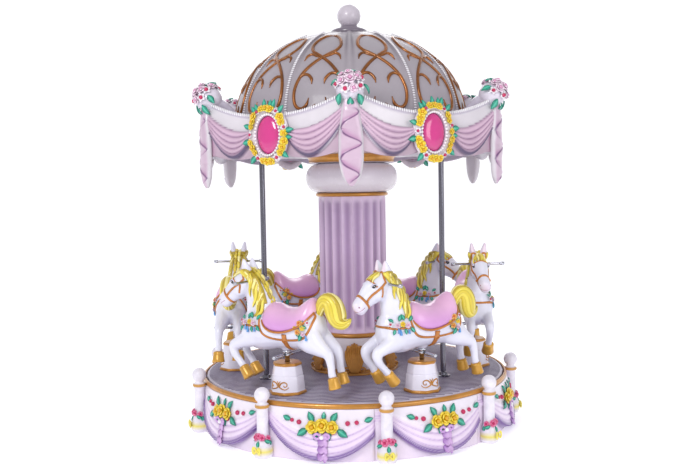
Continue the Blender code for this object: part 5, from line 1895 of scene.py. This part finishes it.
# %% Straps, trims and hooves
tack = Collector()
STRAP_GOLD = tone(204, 128, 56)
HOOF_GOLD = tone(224, 168, 66)


def strap(path, normals, half_width, height, closed=False):
    points, faces = strand(settled(path), normals, half_width * 1.3, height * 1.25, 6, closed=closed)
    tack.add(points, faces, STRAP_GOLD)


HEAD_SIDE, HEAD_UP = (0, 1, 0), (0.64, 0, 0.77)
strap(*wrap((0.408, 0.012, 0.562), HEAD_SIDE, HEAD_UP, 0, 354, 60, 0.001, 0.10), 0.0060, 0.0035, closed=True)
strap(*wrap((0.276, 0.0, 0.668), HEAD_SIDE, (0.30, 0, 0.95), -8, 188, 40, 0.001, 0.12), 0.0052, 0.0034)
strap(*wrap((0.330, 0.003, 0.640), HEAD_SIDE, HEAD_UP, 8, 172, 36, 0.001, 0.12), 0.0046, 0.0030)
for side in (1, -1):
    strap(*press_path(((0.404, 0.565), (0.372, 0.598), (0.336, 0.622), (0.300, 0.646), (0.276, 0.668)), side, 22, 0.001),
          0.0056, 0.0034)
    strap(*press_path(((0.300, 0.646), (0.300, 0.612), (0.305, 0.585)), side, 14, 0.001), 0.0048, 0.0030)
    place, normal = press(0.404, 0.563, side, 0.003)
    tack.add(*ball(0.0095, place, 12, 8, STRAP_GOLD))
    strap(*press_path(((0.136, 0.470), (0.130, 0.410), (0.108, 0.362), (0.060, 0.338), (-0.020, 0.330),
                       (-0.110, 0.334), (-0.180, 0.352), (-0.218, 0.402), (-0.232, 0.470), (-0.232, 0.520)),
                      side, 54, 0.001), 0.0058, 0.0040)
    flap = [(x - 0.002 * np.sign(x), (width + 0.0015) * side * cos(asin(max(-0.7, min(0.9, (flap_z - 0.402) / (ridge_z - 0.402))))),
             flap_z + 0.002) for x, ridge_z, flap_z, width in lines]
    strap(np.array(flap), np.broadcast_to((0, side, 0.2), (36, 3)), 0.0052, 0.0050)
    strap(*press_path(((0.120, 0.400), (0.180, 0.402), (0.236, 0.400), (0.285, 0.408)), side, 24, 0.001),
          0.0052, 0.0032)
strap(*wrap((0.240, 0.0, 0.408), HEAD_SIDE, (1, 0, 0.02), 20, 160, 24, 0.001), 0.0052, 0.0032)
strap(*wrap((-0.046, 0.0, 0.375), HEAD_SIDE, (0, 0, 1), 186, 354, 50, 0.002), 0.0135, 0.0045)
for side in (1, -1):
    place, normal = press(-0.046, 0.330, side, 0.004)
    ring = [place + np.array((0.017 * cos(t), 0, 0.013 * sin(t))) for t in np.linspace(0, 2 * pi, 20, endpoint=False)]
    points, faces = strand(ring, normal, 0.0030, 0.0040, 6, closed=True)
    tack.add(points, faces, STRAP_GOLD)
for top, foot in HOOVES:
    axis = Vector(foot) - Vector(top)
    turn = axis.to_track_quat("Z", "Y").to_matrix().to_4x4()
    long = axis.length
    shape = [(0.018, -0.004), (0.0275, 0.000), (0.0310, 0.006), (0.0300, 0.013), (0.0305, 0.020),
             (0.0335, long * 0.7), (0.0360, long - 0.004), (0.0345, long), (0.020, long + 0.001)]
    points, faces = turned(shape, 20)
    points = points * np.array((1.12, 1.0, 1.0))
    place = np.array(Matrix.Translation(top) @ turn)
    tack.add(points @ place[:3, :3].T + place[:3, 3], faces, HOOF_GOLD)
tack_template = tack.make("tack_template", TACK_PAINT)
print("tack:", triangles(tack_template), "triangles")

# %% Flowers and tassels on the horse
def flank_spots(entries, size, side, lift=0.004):
    spots = []
    for x, z, scale in entries:
        place, normal = press(x, z, side, lift)
        spots.append((place, normal, RNG.uniform(0, 6), size * scale))
    return spots


def flank_leaves(entries, size, side):
    spots = []
    for x, z, lean, scale in entries:
        place, normal = press(x, z, side, 0.003)
        spots.append(leaf_spot(place, normal, (cos(radians(lean)), 0, sin(radians(lean))), size * scale))
    return spots


blossom = Collector()
for side in (1, -1):
    for template, entries in ((ORANGE_ROSE, ((-0.160, 0.436, 1.1), (-0.150, 0.388, 1.0))),
                              (YELLOW_ROSE, ((-0.182, 0.412, 0.9), (0.196, 0.424, 0.9), (-0.128, 0.412, 0.7))),
                              (PINK_ROSE, ((0.166, 0.418, 1.0), (0.232, 0.418, 0.9), (-0.186, 0.378, 0.8))),
                              (SMALL_FLOWER, ((0.262, 0.424, 0.9), (-0.205, 0.440, 0.8)))):
        blossom.add_object(scattered("flank_roses", template, flank_spots(entries, 0.038, side), FLOWER_PAINT))
    blossom.add_object(scattered("flank_leaves", LEAF, flank_leaves(
        ((-0.135, 0.446, 150, 1.0), (-0.182, 0.446, 30, 1.0), (-0.130, 0.384, 200, 1.0), (-0.176, 0.374, -60, 1.0),
         (-0.205, 0.412, 10, 0.9), (0.150, 0.438, 130, 0.9), (0.180, 0.444, 70, 0.9), (0.214, 0.440, 110, 0.9),
         (0.146, 0.404, 230, 0.9), (0.182, 0.400, 260, 0.8), (0.246, 0.436, 50, 0.8), (0.246, 0.400, -70, 0.8)),
        0.046, side), FLOWER_PAINT))
    for x, z, size in ((0.214, 0.398, 1.0), (0.228, 0.404, 0.8), (-0.200, 0.372, 0.9), (0.160, 0.394, 0.7)):
        top, normal = press(x, z, side, 0.006)
        foot, _ = press(x - 0.004, z - 0.034 * size, side, 0.007)
        path = curve_through([top, (top + foot) / 2 + normal * 0.002, foot], 9)
        share = np.linspace(0, 1, 9)
        points, faces = strand(path, normal, 0.0035 + 0.0065 * size * share ** 1.2, 0.003 + 0.004 * share, 8)
        blossom.add(points, faces, tone(96, 158, 222))
blossom_template = blossom.make("blossom_template", FLOWER_PAINT)
print("flowers on a horse:", triangles(blossom_template), "triangles")

# %% [markdown]
# ## Rods, handlebars, pedestals and poles
#
# A chrome rod lifts each horse out of an eight-sided pedestal, and carries a footrest with ribbed grips.
# A handlebar runs through the neck. Three steel poles brace the canopy. These are turned shapes, with a
# gilt band at the top and foot of each pedestal and a scroll on its outer face.

# %% Rod, footrest and handlebar
metal = Collector()
points, faces = turned([(0.0120, 0.0465), (0.0148, 0.049), (0.0148, 0.232), (0.0200, 0.236), (0.0270, 0.240),
                        (0.0285, 0.248), (0.0260, 0.256)], 28)
metal.add(points, faces, BLACK)
lay = Matrix.Rotation(-pi / 2, 4, "X")


def cross_bar(profile, sides, place):
    """A turned shape laid along local Y, centred on a place."""
    points, faces = turned(profile, sides)
    turn = np.array(Matrix.Translation(place) @ lay)
    metal.add(points @ turn[:3, :3].T + turn[:3, 3], faces, BLACK)


for side in (1, -1):
    profile = [(0.0085, side * 0.012), (0.0085, side * 0.048)]
    grip = np.linspace(0.050, 0.134, 43)
    profile += [(0.0108 + 0.0014 * cos(t * 748.0), side * t) for t in grip]
    profile += [(0.0125, side * 0.136), (0.0120, side * 0.141), (0.0060, side * 0.143)]
    cross_bar(profile[::side], 16, (0, 0, 0.228))
metal.add(*ball(0.022, (0, 0, 0.228), 20, 12, BLACK))
rod_template = metal.make("rod_template", CHROME)
metal = Collector()
cross_bar([(0.006, -0.1715), (0.0115, -0.170), (0.0115, -0.147), (0.0078, -0.144), (0.0078, 0.144),
           (0.0115, 0.147), (0.0115, 0.170), (0.006, 0.1715)], 18, (0.250, 0, 0.655))
bar_template = metal.make("bar_template", CHROME)

# %% Pedestal
OCTAGON = 8


def octagon(profile, chamfer=0.10):
    """An eight-sided turned shape with narrow corner facets, so that its edges catch the light."""
    corners = []
    for k in range(OCTAGON):
        a = 2 * pi * (k + 0.5) / OCTAGON
        corners += [a - chamfer * pi / OCTAGON, a + chamfer * pi / OCTAGON]
    points = []
    for r, z in profile:
        for a in corners:
            local = ((a + pi / OCTAGON) % (2 * pi / OCTAGON)) - pi / OCTAGON
            reach = r * cos(pi / OCTAGON) / cos(min(abs(local), pi / OCTAGON * (1 - chamfer)))
            points.append((reach * cos(a), reach * sin(a), z))
    count = len(corners)
    faces = grid_faces(len(profile), count, wrap_columns=True)
    faces += [tuple(range(count))[::-1], tuple((len(profile) - 1) * count + k for k in range(count))]
    return points, faces


box_white = Collector()
box_white.add(*octagon([(0.110, 0.012), (0.106, 0.020), (0.104, 0.030), (0.1025, 0.060), (0.098, 0.102), (0.0965, 0.106),
                        (0.0925, 0.108), (0.0925, 0.111), (0.0945, 0.113), (0.0840, 0.168), (0.078, 0.172)]),
              tone(236, 232, 246))
pedestal_template = box_white.make("pedestal_template", HAND_PAINT)
pedestal_template.data.set_sharp_from_angle(angle=radians(24))
box_gold = Collector()
box_gold.add(*octagon([(0.106, 0.0006), (0.1135, 0.001), (0.1150, 0.006), (0.1140, 0.013), (0.1090, 0.018),
                       (0.1040, 0.019)]), STRAP_GOLD)
top_rows = [(0.080, 0.166), (0.0865, 0.168), (0.0880, 0.174), (0.0865, 0.181), (0.0820, 0.185), (0.0360, 0.185),
            (0.0180, 0.1862), (0.0172, 0.1800)]
points, faces = octagon(top_rows)
box_gold.add(points, faces, STRAP_GOLD)
SCROLLS = (([(0.002, 0.050), (0.012, 0.070), (0.028, 0.078), (0.040, 0.070), (0.040, 0.057), (0.030, 0.054),
             (0.027, 0.062)], 0.0048), ([(0.004, 0.050), (0.020, 0.042), (0.038, 0.040), (0.050, 0.050)], 0.0042),
           ([(0.004, 0.058), (0.002, 0.070), (0.008, 0.082)], 0.0040))


def on_box(x, z):
    """A point on the outer faces of the pedestal, on the middle one or the slanting ones beside it."""
    reach = np.interp(z, (0.030, 0.060, 0.102), (0.104, 0.1025, 0.098)) * cos(pi / OCTAGON)
    half = reach * np.tan(pi / OCTAGON)
    past = max(abs(x) - half, 0.0)
    return np.array((np.sign(x) * (min(abs(x), half) + past * 0.7071), reach - past * 0.7071 + 0.0012, z))


for side in (1, -1):
    for drawing, width in SCROLLS:
        path = np.array([on_box(side * x * 1.35, z * 1.1 - 0.006) for x, z in curve_through(drawing, 26)])
        points, faces = strand(path, (0, 1, 0), np.linspace(width, width * 0.45, 26), 0.0034, 8)
        box_gold.add(points, faces, STRAP_GOLD)
pedestal_trim = box_gold.make("pedestal_trim", GOLD_PAINT)
pedestal_trim.data.set_sharp_from_angle(angle=radians(40))
print("pedestal:", triangles(pedestal_template) + triangles(pedestal_trim), "triangles")

# %% Set out the six horses
for index, (angle, rise) in enumerate(zip(BAY_ANGLES, HORSE_LIFTS), 1):
    seat = (Matrix.Translation((HORSE_RING * sin(angle), -HORSE_RING * cos(angle), DECK_TOP))
            @ Matrix.Rotation(angle - pi, 4, "Z"))
    raised = Matrix.Translation((0, 0, rise)) @ seat
    rider = f"horse_{index}_rising"
    for name, template, matrix, carrier, slot, node in (
            ("horse_figure", figure_template, raised, rider, "white_gelcoat", "horse"),
            ("horse_tack", tack_template, raised, rider, "gold_paint", None),
            ("horse_flowers", blossom_template, raised, rider, "white_gelcoat", None),
            ("lifting_rod", rod_template, raised, rider, "chrome_tube", "horse_rod"),
            ("neck_handlebar", bar_template, raised, rider, "chrome_tube", "handlebar"),
            ("pedestal_box", pedestal_template, seat, "turntable", "white_gelcoat", "pedestal"),
            ("pedestal_gilding", pedestal_trim, seat, "turntable", "gold_paint", None)):
        piece = copied(f"{name}_{index}", template, matrix)
        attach(piece, carrier)
        if node:
            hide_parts(f"{node}_{index}")
for template in (figure_template, tack_template, blossom_template, rod_template, bar_template, pedestal_template,
                 pedestal_trim):
    bpy.data.objects.remove(template)
print("six horses are in place")

# %% Canopy poles
low, high = DECK_TOP + 0.0004, CEILING - 0.0004
pole_profile = [(0.012, low), (0.046, low), (0.046, low + 0.005), (0.043, low + 0.007), (0.026, low + 0.009),
                (0.0225, low + 0.026), (0.0172, low + 0.028), (0.0172, high - 0.028), (0.0225, high - 0.026),
                (0.026, high - 0.009), (0.043, high - 0.007), (0.046, high - 0.005), (0.046, high), (0.012, high)]
POLE_RING = 0.651
for index, angle in enumerate((pi, radians(-60), radians(60)), 1):
    points, faces = turned(pole_profile, 28)
    pole = make_object(f"steel_pole_{index}", points + np.array((POLE_RING * sin(angle), -POLE_RING * cos(angle), 0)),
                       faces, POLE_STEEL)
    facing_out(pole)
    pole.data.set_sharp_from_angle(angle=radians(35))
    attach(pole, "turntable")
    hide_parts(f"canopy_pole_{index}")
print("poles are in place")

# %% [markdown]
# ## The size, and the end
#
# The templates are removed, and the triangles of all the pieces that render are counted.

# %% Sizes and finish
for template in TEMPLATES:
    bpy.data.objects.remove(template)
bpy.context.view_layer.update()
total = sum(triangles(obj) for obj in bpy.data.objects if obj.type == "MESH" and not obj.hide_render)
print("triangles in view:", total)
